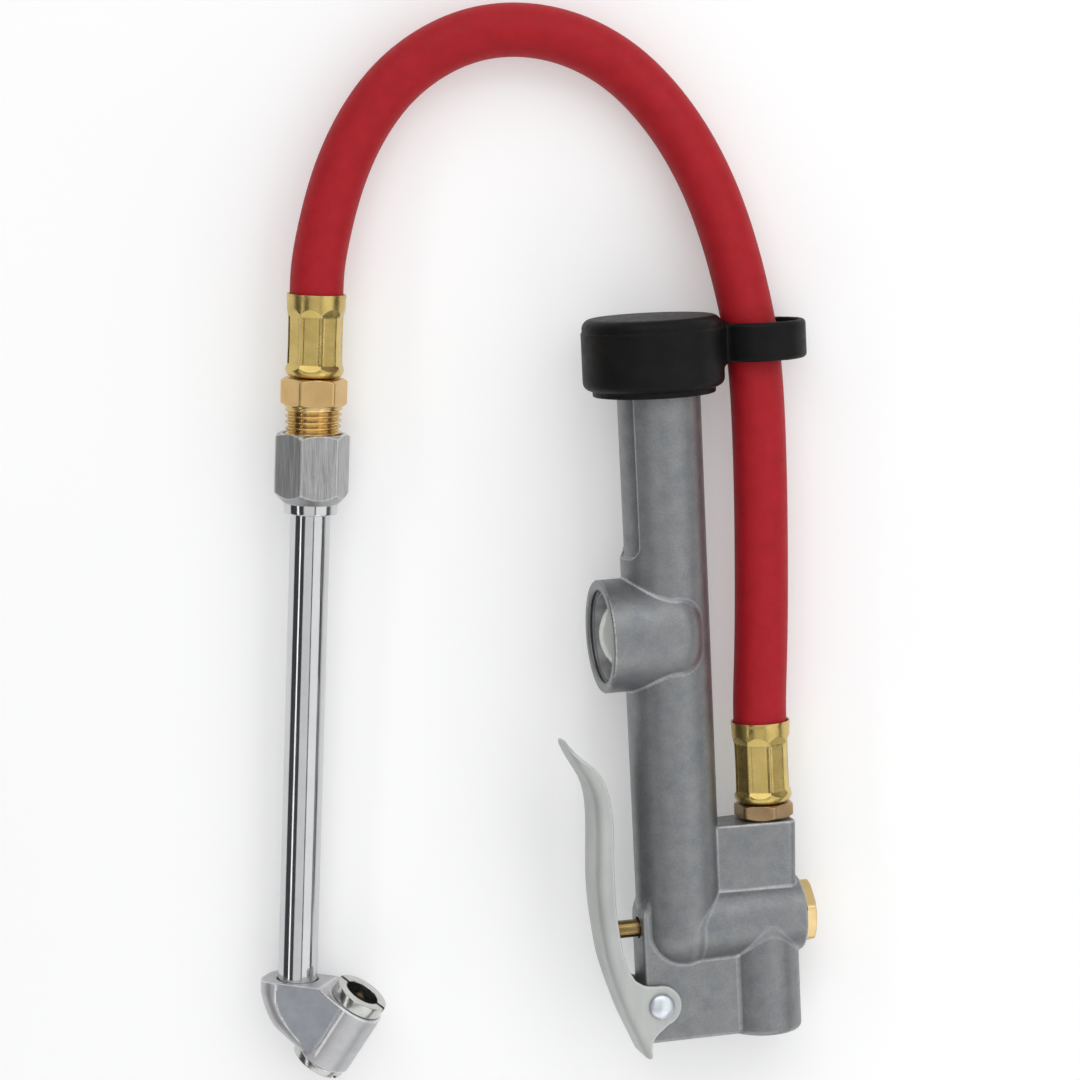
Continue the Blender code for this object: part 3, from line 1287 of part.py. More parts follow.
# ================================================================ the whole
def build():
    """Makes every piece."""
    clear_scene()
    zinc = finish_of("zinc_casting", (0.30, 0.31, 0.32), 0.48, 0.85)
    steel = finish_of("plated_steel", (0.62, 0.63, 0.61), 0.36, 0.9)
    bright = finish_of("bright_steel", (0.68, 0.72, 0.76), 0.25, 1.0)
    chrome = finish_of("chrome", (0.72, 0.72, 0.73), 0.14, 1.0)
    brass = finish_of("brass", (0.72, 0.53, 0.22), 0.32, 1.0)
    dark_brass = finish_of("dark_brass", (0.50, 0.31, 0.14), 0.38, 1.0)
    rubber = finish_of("black_rubber", (0.025, 0.025, 0.024), 0.55, 0.0)
    red = finish_of("red_rubber", (0.35, 0.02, 0.03), 0.45, 0.0)
    white = finish_of("white_nylon", (0.85, 0.85, 0.82), 0.40, 0.0)
    clear = finish_of("clear_acrylic", (0.95, 0.96, 0.96), 0.05, 0.0, 0.9)

    body = add_frame("body_frame", None, lying(BODY_PLACE, 0.0161, BODY_YAW, BODY_PITCH, BODY_ROLL))
    chuck = add_frame("chuck_frame", None, lying(CHUCK_PLACE, 0.0066, CHUCK_YAW, CHUCK_PITCH, CHUCK_ROLL))
    stem = add_frame("stem_axis", body)
    drum = add_frame("drum_axis", body)

    body_casting(body, zinc)
    rubber_boot(body, rubber)
    gauge_end_plug(body, dark_brass)
    gauge_drum(drum, white)
    piston_cup(drum, rubber)
    gauge_spring(body, bright)
    window_lens(body, clear)
    lens_ring(body, zinc)
    lever(body, steel)
    lever_rivet(body, bright)
    push_pin(stem, brass)
    pin_seal(stem, rubber)
    valve_seat(body, brass)
    valve_poppet(stem, rubber)
    valve_spring(body, bright)
    valve_plug(body, brass)
    plug_seal(body, rubber)
    body_fitting(body, dark_brass)

    ferrule_low = BLOCK_TOP + FIT_GAP + 0.0001 + BODY_HEX_TALL + FIT_GAP
    low_place = add_frame("lower_ferrule_seat", body, at(x=HOSE_PORT_X, z=ferrule_low))
    add_object("lower_ferrule", ferrule_mesh("lower_ferrule", LOWER_FERRULE_TURN), brass, low_place)
    hose_end("lower_hose_end", low_place, red, None)

    hose_adapter(chuck, brass)
    high_place = add_frame("upper_ferrule_seat", chuck, at(z=ADAPTER_HEX_HIGH + FIT_GAP))
    add_object("upper_ferrule", ferrule_mesh("upper_ferrule", UPPER_FERRULE_TURN), brass, high_place)
    hose_end("upper_hose_end", high_place, red, None)
    hex_coupling(chuck, chrome)
    chuck_tube(chuck, chrome)
    chuck_head(chuck, chrome)
    front = Matrix.Rotation(math.radians(90.0), 4, "Z")
    rear = Matrix.Rotation(math.radians(180.0), 4, "X") @ front
    flat_slot = Matrix.Rotation(math.radians(-90.0), 4, "Z")
    foot_cap("front_cap", chuck, chrome, CAP_FRONT_TALL, front @ flat_slot)
    foot_cap("rear_cap", chuck, chrome, CAP_REAR_TALL, rear @ flat_slot)
    foot_washer("front_washer", chuck, rubber, front)
    foot_washer("rear_washer", chuck, rubber, rear)
    foot_plunger("front_plunger", chuck, brass, front)
    foot_plunger("rear_plunger", chuck, brass, rear)
    foot_spring(chuck, bright)

    points = settle(body) + settle(chuck)
    shift = centre((body, chuck), points)
    hose(None, red, low_place, high_place, shift)


build()
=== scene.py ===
"""Looks of the portable tire inflator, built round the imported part.

Pieces are drawn in millimetres in the valve body's frame or the chuck's frame (z up the tube, -y to the
viewer) and placed in the row frame by those frames' matrices. Everything else is in metres.
"""

import json
import math

import bmesh
import bpy
import numpy as np
from mathutils import Matrix, Vector


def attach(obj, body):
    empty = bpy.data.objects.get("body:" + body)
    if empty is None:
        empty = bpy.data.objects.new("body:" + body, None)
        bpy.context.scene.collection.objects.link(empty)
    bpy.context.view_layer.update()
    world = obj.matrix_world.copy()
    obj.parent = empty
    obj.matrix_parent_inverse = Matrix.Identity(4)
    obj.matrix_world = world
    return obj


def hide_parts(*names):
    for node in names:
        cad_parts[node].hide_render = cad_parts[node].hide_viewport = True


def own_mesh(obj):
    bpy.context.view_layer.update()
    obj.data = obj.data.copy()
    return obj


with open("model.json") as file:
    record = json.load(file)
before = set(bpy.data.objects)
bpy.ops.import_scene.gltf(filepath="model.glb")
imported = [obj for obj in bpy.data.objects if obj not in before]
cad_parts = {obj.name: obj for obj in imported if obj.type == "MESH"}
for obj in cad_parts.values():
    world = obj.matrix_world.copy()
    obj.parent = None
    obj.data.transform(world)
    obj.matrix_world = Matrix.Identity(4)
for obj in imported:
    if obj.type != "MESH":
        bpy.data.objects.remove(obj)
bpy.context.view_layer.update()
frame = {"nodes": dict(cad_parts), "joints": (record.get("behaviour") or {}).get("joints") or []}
MM = 0.001

# ---------------------------------------------------------------- driving sizes, in millimetres
FIT = 0.3
PIVOT = (-7.0, -18.1)
TUBE_LOW, TUBE_HIGH, COLLAR_Z, TUBE_TOP = 10.10, 10.35, 130.2, 136.0
VALVE_END = 29.6
INLET_X, INLET_BOTTOM = 20.2, -27.8
BLOCK_TOP, BLOCK_END = 23.75, 28.3
BOSS_Z, BOSS_R, BOSS_LEFT, BOSS_RIGHT = 70.8, 13.4, -16.4, 6.2
LABEL_LOW, LABEL_HALF, LABEL_CORNER = 89.2, 6.7, 3.5
HOSE_X = 22.2
HOSE_R = 6.35
FERRULE_LONG, HOSE_MOUTH = 19.6, 2.2
CHUCK_R, CHUCK_LOW, CHUCK_HIGH = 4.7625, -6.6, 121.6
FOOT_ANGLE = math.radians(30.9)
FOOT_X, FOOT_Z, FOOT_R, FOOT_HALF = 11.05, -11.2, 7.2, 8.15
DRUM_LOW, DRUM_HIGH, DRUM_END = 15.5, 86.0, 3.0
GAUGE_TRAVEL, VALVE_TRAVEL, FOOT_TRAVEL = 40.0, 2.5, 1.5
SHELF_Z, SHELF_HIGH = BLOCK_TOP + FIT + 0.1, 3.4
ADAPTER_LOW, ADAPTER_HIGH = 139.5, 146.0
LOWER_FERRULE_Z = SHELF_Z + SHELF_HIGH + FIT
UPPER_FERRULE_Z = ADAPTER_HIGH + FIT


# ================================================================ frames
def node_points(name):
    """Corners of a CAD node as an array."""
    return np.array([v.co for v in frame["nodes"][name].data.vertices], float)


def as_frame(origin, x_axis, y_axis, z_axis):
    """A matrix from millimetres along these axes to metres in the row frame."""
    columns = [Vector(axis).normalized() * MM for axis in (x_axis, y_axis, z_axis)]
    matrix = Matrix.Identity(4)
    for k, column in enumerate(columns):
        matrix.col[k] = (*column, 0.0)
    matrix.col[3] = (*Vector(origin), 1.0)
    return matrix


JOINTS = {joint["name"]: joint for joint in frame["joints"]}
BODY_X = Vector(JOINTS["valve_slide"]["axis"])
BODY_Z = Vector(JOINTS["gauge_slide"]["axis"])
BODY_Y = Vector(JOINTS["lever_hinge"]["axis"])
BODY_O = Vector(JOINTS["lever_hinge"]["pos_m"]) - BODY_X * PIVOT[0] * MM - BODY_Z * PIVOT[1] * MM
BODY = as_frame(BODY_O, BODY_X, BODY_Y, BODY_Z)


def chuck_frame():
    """The chuck's frame, from its pipe's axis and the plungers' axis."""
    points = node_points("chuck_tube")
    along = Vector(np.linalg.svd(points - points.mean(0), full_matrices=False)[2][0])
    if along.y < 0.0:
        along = -along
    heights = points @ np.array(along)
    low_ring = points[heights < heights.min() + 0.001]
    foot = -Vector(JOINTS["front_foot_slide"]["axis"])
    side = (foot - along * foot.dot(along)).normalized()
    origin = Vector(low_ring.mean(0)) - along * CHUCK_LOW * MM
    return as_frame(origin, side, along.cross(side), along)


CHUCK = chuck_frame()
FOOT = CHUCK @ Matrix.Translation((FOOT_X, 0.0, FOOT_Z)) @ Matrix.Rotation(FOOT_ANGLE, 4, "Y")
ALONG_X = Matrix.Rotation(math.radians(90.0), 4, "Y")
ACROSS = Matrix.Rotation(math.radians(90.0), 4, "X")


def shift(x=0.0, y=0.0, z=0.0):
    """A plain move."""
    return Matrix.Translation((x, y, z))


VALVE = BODY @ ALONG_X
BOSS = BODY @ shift(z=BOSS_Z) @ ALONG_X


# ================================================================ node materials
class Finish:
    """A node material under construction, with short ways to add to its tree."""

    def __init__(self, name, metallic=0.0):
        self.material = bpy.data.materials.new(name)
        self.material.use_nodes = True
        self.tree = self.material.node_tree
        self.inputs = self.tree.nodes["Principled BSDF"].inputs
        self.inputs["Metallic"].default_value = metallic

    def feed(self, socket, value):
        """Gives an input another node's output, a colour or a number."""
        if isinstance(value, bpy.types.NodeSocket):
            self.tree.links.new(value, socket)
        elif isinstance(value, tuple):
            socket.default_value = (*value, 1.0)
        elif socket.type == "RGBA":
            socket.default_value = (value, value, value, 1.0)
        else:
            socket.default_value = value

    def noise(self, scale, detail=3.0, roughness=0.5, stretch=None):
        """Noise in the object's own metres; stretch squeezes the pattern along each axis."""
        place = self.tree.nodes.new("ShaderNodeTexCoord").outputs["Object"]
        if stretch is not None:
            squeeze = self.tree.nodes.new("ShaderNodeMapping")
            squeeze.inputs["Scale"].default_value = stretch
            self.feed(squeeze.inputs["Vector"], place)
            place = squeeze.outputs["Vector"]
        node = self.tree.nodes.new("ShaderNodeTexNoise")
        given = {"Scale": scale, "Detail": detail, "Roughness": roughness, "Vector": place}
        for name, value in given.items():
            self.feed(node.inputs[name], value)
        return node.outputs["Fac"]

    def ramp(self, source, low, high, at=(0.3, 0.7)):
        """Runs a value from one colour or grey to another between two levels."""
        node = self.tree.nodes.new("ShaderNodeValToRGB")
        for element, position, colour in zip(node.color_ramp.elements, at, (low, high)):
            element.position = position
            shade = colour if isinstance(colour, tuple) else (colour, colour, colour)
            element.color = (*shade, 1.0)
        self.feed(node.inputs["Fac"], source)
        return node.outputs["Color"]

    def cloud(self, scale, low, high, detail=3.0, roughness=0.5, stretch=None, at=(0.3, 0.7)):
        """Noise run from one colour or grey to another."""
        return self.ramp(self.noise(scale, detail, roughness, stretch), low, high, at)

    def mix(self, factor, first, second, kind="MIX"):
        """Mixes two colours; each may be a socket or a plain value."""
        node = self.tree.nodes.new("ShaderNodeMix")
        node.data_type = "RGBA"
        node.blend_type = kind
        for index, value in ((0, factor), (6, first), (7, second)):
            self.feed(node.inputs[index], value)
        return node.outputs[2]

    def times(self, first, second):
        """The product of two colours or values."""
        return self.mix(1.0, first, second, "MULTIPLY")

    def curved(self, low, high, at):
        """A value that follows the mesh's own curvature, from folds to edges."""
        node = self.tree.nodes.new("ShaderNodeNewGeometry")
        return self.ramp(node.outputs["Pointiness"], low, high, at)

    def edge_wear_and_highlight(self, share):
        """Share of lightened metal at edges and creases, read from the attribute a piece stores: partly
        rubbed edges, partly painted highlight lines.
        """
        node = self.tree.nodes.new("ShaderNodeAttribute")
        node.attribute_name = "edge_wear_and_highlight"
        rubbed_and_lit = self.cloud(900.0, 0.5, 1.0, 3.0, 0.6, at=(0.25, 0.6))
        return self.times(self.times(node.outputs["Fac"], rubbed_and_lit), share)

    def bump(self, source, distance, strength, after=None):
        """Adds a bump of a height in metres and returns its normal, for the next one to stand on."""
        node = self.tree.nodes.new("ShaderNodeBump")
        node.inputs["Strength"].default_value = strength
        node.inputs["Distance"].default_value = distance
        self.feed(node.inputs["Height"], source)
        if after is not None:
            self.feed(node.inputs["Normal"], after)
        self.feed(self.inputs["Normal"], node.outputs["Normal"])
        return node.outputs["Normal"]

    def done(self, colour, roughness, **plain):
        """Sets the colour, the roughness and any plain inputs, and hands the material over."""
        self.feed(self.inputs["Base Color"], colour)
        self.feed(self.inputs["Roughness"], roughness)
        for name, value in plain.items():
            self.feed(self.inputs[name.replace("_", " ")], value)
        return self.material


def zinc_casting():
    """Grey die-cast zinc, lightly tumbled: faint blue and brown clouds, a fine skin, and edges and creases
    lightened, partly as rubbed metal and partly as painted highlight lines.
    """
    make = Finish("zinc_casting", 0.7)
    cloud = make.cloud(230.0, (0.225, 0.241, 0.258), (0.310, 0.310, 0.308), 5.0, 0.65)
    colour = make.mix(0.8, cloud, make.cloud(2600.0, 0.64, 1.0, 5.0, 0.75), "MULTIPLY")
    fleck = make.cloud(4600.0, 0.0, 1.0, 2.0, 0.6, at=(0.62, 0.74))
    colour = make.mix(make.times(fleck, 0.35), colour, (0.52, 0.53, 0.54))
    # Painted highlight lines on edges and creases, partly rubbed metal as well.
    colour = make.mix(make.edge_wear_and_highlight(0.65), colour, (0.66, 0.67, 0.69))
    first = make.bump(make.noise(1300.0, 4.0, 0.65), 0.00006, 0.5)
    make.bump(make.noise(5200.0, 3.0, 0.7), 0.00003, 0.6, first)
    return make.done(colour, make.cloud(420.0, 0.34, 0.46, 4.0, 0.6))


def plated_steel():
    """Light satin zinc plate with faint bluish streaks along the lever."""
    make = Finish("plated_steel", 0.5)
    cloud = make.cloud(70.0, (0.475, 0.485, 0.465), (0.545, 0.552, 0.53))
    streak = make.cloud(420.0, (0.93, 0.955, 0.98), 1.0, 3.0, 0.6, (1.0, 0.05, 1.0), (0.40, 0.60))
    # Painted highlight rim lines on the lever's edges, partly rubbed plate as well.
    colour = make.mix(make.edge_wear_and_highlight(0.5), make.times(cloud, streak), (0.84, 0.85, 0.85))
    make.bump(make.noise(3000.0, 3.0, 0.6), 0.00003, 0.4)
    return make.done(colour, make.cloud(300.0, 0.46, 0.58, 4.0, 0.6))


def bright_steel():
    """Bluish bright plate with small dents."""
    make = Finish("bright_steel", 1.0)
    make.bump(make.noise(800.0, 2.0, 0.5), 0.00010, 0.35)
    tone = make.cloud(380.0, (0.62, 0.67, 0.71), (0.76, 0.81, 0.85), 3.0, 0.6)
    return make.done(tone, make.cloud(700.0, 0.30, 0.42))


def chrome():
    """Bright chrome on the pipe and collar, slightly hazy, with drawing lines along it."""
    make = Finish("chrome", 1.0)
    make.bump(make.noise(1800.0, 2.0, 0.5, (1.0, 0.02, 1.0)), 0.000006, 0.6)
    tone = make.cloud(120.0, (0.57, 0.575, 0.585), (0.62, 0.625, 0.63), 3.0, 0.6)
    return make.done(tone, make.cloud(500.0, 0.08, 0.15, 4.0, 0.65, (1.0, 0.05, 1.0), (0.35, 0.75)))


def ring_chrome():
    """The screwed rings: chrome with the green-grey cast of worn plate."""
    make = Finish("ring_chrome", 1.0)
    make.bump(make.noise(1300.0, 3.0, 0.6), 0.00003, 0.5)
    tone = make.cloud(260.0, (0.50, 0.51, 0.48), (0.62, 0.62, 0.60), 4.0, 0.6)
    return make.done(tone, make.cloud(900.0, 0.16, 0.28, 4.0, 0.7, at=(0.35, 0.7)))


def cast_chrome():
    """The chuck's head: satin chrome over a polished casting."""
    make = Finish("cast_chrome", 0.85)
    make.bump(make.noise(1500.0, 3.0, 0.6), 0.00002, 0.4)
    tone = make.cloud(200.0, (0.48, 0.48, 0.495), (0.57, 0.57, 0.585), 3.0, 0.6)
    # Painted highlight lines along the head's edges and creases, partly rubbed plate as well.
    tone = make.mix(make.edge_wear_and_highlight(0.7), tone, (0.92, 0.92, 0.93))
    return make.done(tone, make.cloud(600.0, 0.36, 0.46, 4.0, 0.6))


def satin_chrome():
    """The unpolished recess of the chuck's cheek: plated over the casting's own skin."""
    make = Finish("satin_chrome", 0.9)
    make.bump(make.noise(1900.0, 4.0, 0.7), 0.00006, 0.7)
    return make.done(make.cloud(260.0, (0.42, 0.44, 0.48), (0.52, 0.54, 0.58), 4.0, 0.6), 0.42)


def brushed_chrome():
    """The coupling: chrome over drawn hexagon bar, with fine lines along it and corners lightened, partly as
    rubbed plate and partly as painted highlight.
    """
    make = Finish("brushed_chrome", 1.0)
    line = make.noise(3000.0, 5.0, 0.8, (1.0, 0.03, 1.0))
    make.bump(line, 0.00003, 0.9)
    tone = make.ramp(line, (0.24, 0.24, 0.245), (0.50, 0.50, 0.50), (0.35, 0.65))
    # Painted highlight on the hexagon's corners, partly rubbed plate as well.
    tone = make.mix(make.times(make.curved(0.0, 1.0, (0.505, 0.56)), 0.8), tone, (0.85, 0.85, 0.86))
    return make.done(tone, make.ramp(line, 0.38, 0.27))


def brass(name, dark, light, deep, rough_low, rough_high, stain=0.1):
    """Turned brass with a soft skin and random brown stains; painted shade darkens its folds, and its edges
    are lightened, partly as rubbed metal and partly as painted highlight.
    """
    make = Finish(name, 1.0)
    make.bump(make.noise(2200.0, 3.0, 0.6), 0.00002, 0.18)
    stained = make.cloud(700.0, 0.0, stain, 4.0, 0.6, at=(0.52, 0.82))
    colour = make.mix(stained, make.cloud(150.0, dark, light), deep)
    # Painted shade: folds and thread roots darkened.
    colour = make.mix(make.times(make.curved(1.0, 0.0, (0.40, 0.49)), 0.45), colour, deep)
    # Painted highlight on edges and thread crests, partly rubbed metal as well.
    colour = make.mix(make.times(make.curved(0.0, 1.0, (0.53, 0.62)), 0.35), colour, (0.93, 0.80, 0.50))
    return make.done(colour, make.cloud(500.0, rough_low, rough_high))


def black_rubber():
    """Moulded black rubber with a fine matt skin."""
    make = Finish("black_rubber")
    make.bump(make.noise(3400.0, 3.0, 0.6), 0.00003, 0.45)
    tone = make.cloud(200.0, (0.0042, 0.0042, 0.0044), (0.0075, 0.0075, 0.0078), 4.0, 0.6)
    tone = make.mix(make.cloud(3000.0, 0.0, 0.05, 2.0, 0.6, at=(0.70, 0.80)), tone, (0.08, 0.08, 0.08))
    return make.done(tone, make.cloud(600.0, 0.42, 0.54), Specular_IOR_Level=0.14)


def red_rubber():
    """Smooth red air hose with the faint grain of its cover."""
    make = Finish("red_rubber")
    make.bump(make.noise(1900.0, 3.0, 0.6), 0.00004, 0.4)
    tone = make.cloud(260.0, (0.355, 0.0078, 0.0140), (0.420, 0.0100, 0.0178), 4.0, 0.6)
    tone = make.mix(make.cloud(2800.0, 0.0, 0.25, 2.0, 0.6, at=(0.66, 0.78)), tone, (0.20, 0.008, 0.014))
    return make.done(tone, make.cloud(500.0, 0.52, 0.62), Specular_IOR_Level=0.22)


def white_nylon():
    """The drum's white plastic."""
    make = Finish("white_nylon")
    make.bump(make.noise(2500.0), 0.00002, 0.3)
    return make.done(make.cloud(300.0, (0.78, 0.78, 0.75), (0.86, 0.86, 0.83)), 0.38)


def clear_acrylic():
    """The magnifying window: clear, with hairline scratches in its gloss."""
    make = Finish("clear_acrylic")
    gloss = make.cloud(900.0, 0.03, 0.12, 4.0, 0.7, (1.0, 0.1, 1.0), (0.5, 0.8))
    # Its off-white base and partial transmission are partly painted reflection: they whiten the clear lens
    # as a bright reflection would.
    return make.done((0.90, 0.90, 0.86), gloss, Transmission_Weight=0.60, IOR=1.49)


# Each row: dark and light tone, the colour of stains and of the painted shade in folds, low and high
# roughness, and, where given, the stain share.
BRASS_TONES = {
    "brass": ((0.52, 0.385, 0.125), (0.66, 0.50, 0.180), (0.20, 0.125, 0.035), 0.23, 0.34),
    "peach_brass": ((0.64, 0.43, 0.18), (0.74, 0.51, 0.23), (0.42, 0.24, 0.09), 0.30, 0.38),
    "gold_brass": ((0.60, 0.42, 0.18), (0.72, 0.53, 0.25), (0.10, 0.05, 0.015), 0.18, 0.28),
    "pale_brass": ((0.67, 0.49, 0.23), (0.75, 0.57, 0.29), (0.43, 0.28, 0.10), 0.34, 0.44),
    "pin_brass": ((0.16, 0.098, 0.030), (0.27, 0.178, 0.06), (0.05, 0.028, 0.008), 0.20, 0.32, 0.5),
    "dark_brass": ((0.36, 0.24, 0.13), (0.50, 0.34, 0.19), (0.14, 0.08, 0.04), 0.30, 0.42, 0.3),
}
FINISHES = {name: brass(name, *tones) for name, tones in BRASS_TONES.items()}
FINISHES.update(
    zinc_casting=zinc_casting(), plated_steel=plated_steel(), bright_steel=bright_steel(), chrome=chrome(),
    cast_chrome=cast_chrome(), ring_chrome=ring_chrome(), satin_chrome=satin_chrome(),
    brushed_chrome=brushed_chrome(), black_rubber=black_rubber(), red_rubber=red_rubber(),
    white_nylon=white_nylon(), clear_acrylic=clear_acrylic(),
)


# ================================================================ meshes
def slot_of(finish):
    """The record's slot for a finish: kinds of chrome share one, and so do the brighter kinds of brass."""
    for kind in ("chrome", "brass"):
        if finish.endswith(kind) and finish != "dark_brass":
            return kind
    return finish


def dress(item, finish, nodes=(), body="base", slot=None):
    """Gives a piece its finish, the body it rides on and the CAD nodes it stands for."""
    finishes = (finish,) if isinstance(finish, str) else finish
    item.data.materials.clear()
    for name in finishes:
        item.data.materials.append(FINISHES[name])
    slot = slot or slot_of(finishes[0])
    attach(item, body)
    if nodes:
        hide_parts(*nodes)
    return item


def piece(name, points, faces, matrix, finish, nodes=(), body="base", slot=None, normals=None, sharp=38.0,
          field=None):
    """A mesh piece from points in millimetres and faces, placed by its matrix; field marks the edges and
    creases that the finish lightens, partly as wear and partly as painted highlight.
    """
    turn = np.array(matrix, float)
    placed = np.asarray(points, float) @ turn[:3, :3].T + turn[:3, 3]
    mesh = bpy.data.meshes.new(name)
    mesh.from_pydata(placed.tolist(), [], [list(map(int, face)) for face in faces])
    mesh.update()
    mesh.shade_smooth()
    if normals is not None:
        turned_normals = np.asarray(normals, float) @ turn[:3, :3].T
        turned_normals /= np.maximum(np.linalg.norm(turned_normals, axis=1, keepdims=True), 1e-12)
        mesh.normals_split_custom_set_from_vertices(turned_normals.tolist())
    else:
        tidy = bmesh.new()
        tidy.from_mesh(mesh)
        bmesh.ops.recalc_face_normals(tidy, faces=tidy.faces)
        tidy.to_mesh(mesh)
        tidy.free()
        mesh.shade_smooth()
        mesh.set_sharp_from_angle(angle=math.radians(sharp))
    if field is not None:
        # The stored mask lightens edges and creases: partly rubbed metal, partly painted highlight.
        rubbed_and_lit = mesh.attributes.new("edge_wear_and_highlight", "FLOAT", "POINT")
        rubbed_and_lit.data.foreach_set("value", sharpness(field, np.asarray(points)))
    item = bpy.data.objects.new(name, mesh)
    bpy.context.scene.collection.objects.link(item)
    return dress(item, finish, nodes, body, slot)


def turned_piece(name, profile, sides, matrix, finish, loop=True, **more):
    """A piece turned about z from (radius, height) points; loop joins the last point to the first."""
    angles = np.arange(sides) * (2 * math.pi / sides)
    points, faces = skin([ring(r, z, angles) for r, z in profile], loop)
    return piece(name, points, faces, matrix, finish, **more)


BEND_REACH, BEND_LOW, BEND_FULL = 0.3, 0.35, 2.2


def sharpness(field, points):
    """How sharply a field's surface bends at its points, from 0 on open faces to 1 on edges."""
    bend = -6.0 * field(*points.T)
    for axis in range(3):
        for step in (-BEND_REACH, BEND_REACH):
            moved = points.copy()
            moved[:, axis] += step
            bend += field(*moved.T)
    # Creases count as much as edges, so the finishes' painted highlight lines fall in both.
    bend = np.abs(bend) / BEND_REACH ** 2
    return np.clip((bend - BEND_LOW) / (BEND_FULL - BEND_LOW), 0.0, 1.0)


def skin(rings, loop=False):
    """Points and faces of rings joined one to the next; loop joins the last ring to the first."""
    rings = np.asarray(rings, float)
    rows, sides = rings.shape[:2]
    faces = []
    for r in range(rows if loop else rows - 1):
        low, high = r * sides, (r + 1) % rows * sides
        faces += [(low + i, low + (i + 1) % sides, high + (i + 1) % sides, high + i) for i in range(sides)]
    if not loop:
        faces.append(tuple(range(sides - 1, -1, -1)))
        faces.append(tuple(range((rows - 1) * sides, rows * sides)))
    return rings.reshape(-1, 3), faces


def softened(profile, radius, steps=3, closed=False):
    """Rounds each corner of a profile by a small arc."""
    points = [Vector(point) for point in profile]
    count = len(points)
    result = []
    for i, here in enumerate(points):
        if not closed and i in (0, count - 1):
            result.append(tuple(here))
            continue
        before, after = points[i - 1], points[(i + 1) % count]
        reach = min(radius, (before - here).length * 0.45, (after - here).length * 0.45)
        start = here + (before - here).normalized() * reach
        end = here + (after - here).normalized() * reach
        if (start - end).length < 1e-6:
            result.append(tuple(here))
            continue
        for k in range(steps + 1):
            t = k / steps
            result.append(tuple(start * (1 - t) ** 2 + here * 2 * t * (1 - t) + end * t * t))
    return result


def ring(radius, z, angles):
    """One ring of points about z; the radius may change with the angle."""
    return np.stack([radius * np.cos(angles), radius * np.sin(angles), np.full(len(angles), z)], 1)


def shaped(radius, heights, sides, inner=None):
    """A round bar whose radius is a function of angle and height; inner adds a bore as (radius, height)."""
    angles = np.arange(sides) * (2 * math.pi / sides)
    rings = [ring(radius(angles, z), z, angles) for z in heights]
    rings += [ring(r, z, angles) for r, z in inner or ()]
    return skin(rings, loop=inner is not None)


def hex_radius(angle, across, turn, corner):
    """Radius of a hexagon in a direction, its corners rounded a little."""
    step = math.radians(60.0)
    local = (angle - turn) % step - step / 2
    flat = across / 2 / np.cos(local)
    limit = across / math.sqrt(3.0) - corner
    return np.minimum(flat, limit)


def spline(route, count):
    """Points at even steps on a smooth Catmull-Rom curve through the route's own points."""
    points = [Vector(point) for point in route]
    padded = [points[0] * 2 - points[1], *points, points[-1] * 2 - points[-2]]
    dense = []
    for i in range(1, len(padded) - 2):
        before, start, end, after = padded[i - 1:i + 3]
        for k in range(40):
            t = k / 40
            dense.append(0.5 * (
                2 * start + (end - before) * t
                + (2 * before - 5 * start + 4 * end - after) * t * t
                + (3 * start - before - 3 * end + after) * t ** 3
            ))
    dense.append(points[-1])
    dense = np.array([tuple(point) for point in dense])
    lengths = np.concatenate([[0.0], np.cumsum(np.linalg.norm(np.diff(dense, axis=0), axis=1))])
    wanted = np.linspace(0.0, lengths[-1], count)
    return np.stack([np.interp(wanted, lengths, dense[:, k]) for k in range(dense.shape[1])], 1), lengths[-1]


# ================================================================ solids as distance fields
def both(a, b, r):
    """Intersection of two fields with a round edge."""
    return np.minimum(-r, np.maximum(a, b)) + np.hypot(np.maximum(a + r, 0.0), np.maximum(b + r, 0.0))


def either(a, b, r):
    """Union of two fields with a round fillet."""
    return np.maximum(r, np.minimum(a, b)) - np.hypot(np.maximum(r - a, 0.0), np.maximum(r - b, 0.0))


def without(a, b, r):
    """The first field less the second, the edge rounded."""
    return both(a, -b, r)


def rod(a, b, radius):
    """Distance to a round rod, from its two cross coordinates."""
    return np.hypot(a, b) - radius


def slab(value, low, high):
    """Distance to the space between two levels."""
    return np.maximum(low - value, value - high)


def outline_field(a, b, outline):
    """Signed distance to a closed plane outline, negative inside."""
    shape = np.shape(a)
    a, b = np.ravel(a), np.ravel(b)
    best = np.full(a.shape, 1e9)
    inside = np.zeros(a.shape, bool)
    count = len(outline)
    for i in range(count):
        (ax, ay), (bx, by) = outline[i], outline[(i + 1) % count]
        ex, ey = bx - ax, by - ay
        wx, wy = a - ax, b - ay
        share = np.clip((wx * ex + wy * ey) / (ex * ex + ey * ey + 1e-12), 0.0, 1.0)
        best = np.minimum(best, (wx - ex * share) ** 2 + (wy - ey * share) ** 2)
        crosses = (ay > b) != (by > b)
        if abs(ey) > 1e-12:
            inside ^= crosses & (wx < ex * wy / ey)
    return (np.sqrt(best) * np.where(inside, -1.0, 1.0)).reshape(shape)


def levels(*spans):
    """Grid levels from (start, end, step) spans that follow each other."""
    rows = [np.linspace(a, b, max(int(round((b - a) / s)), 1), endpoint=False) for a, b, s in spans]
    return np.concatenate([*rows, [spans[-1][1]]])


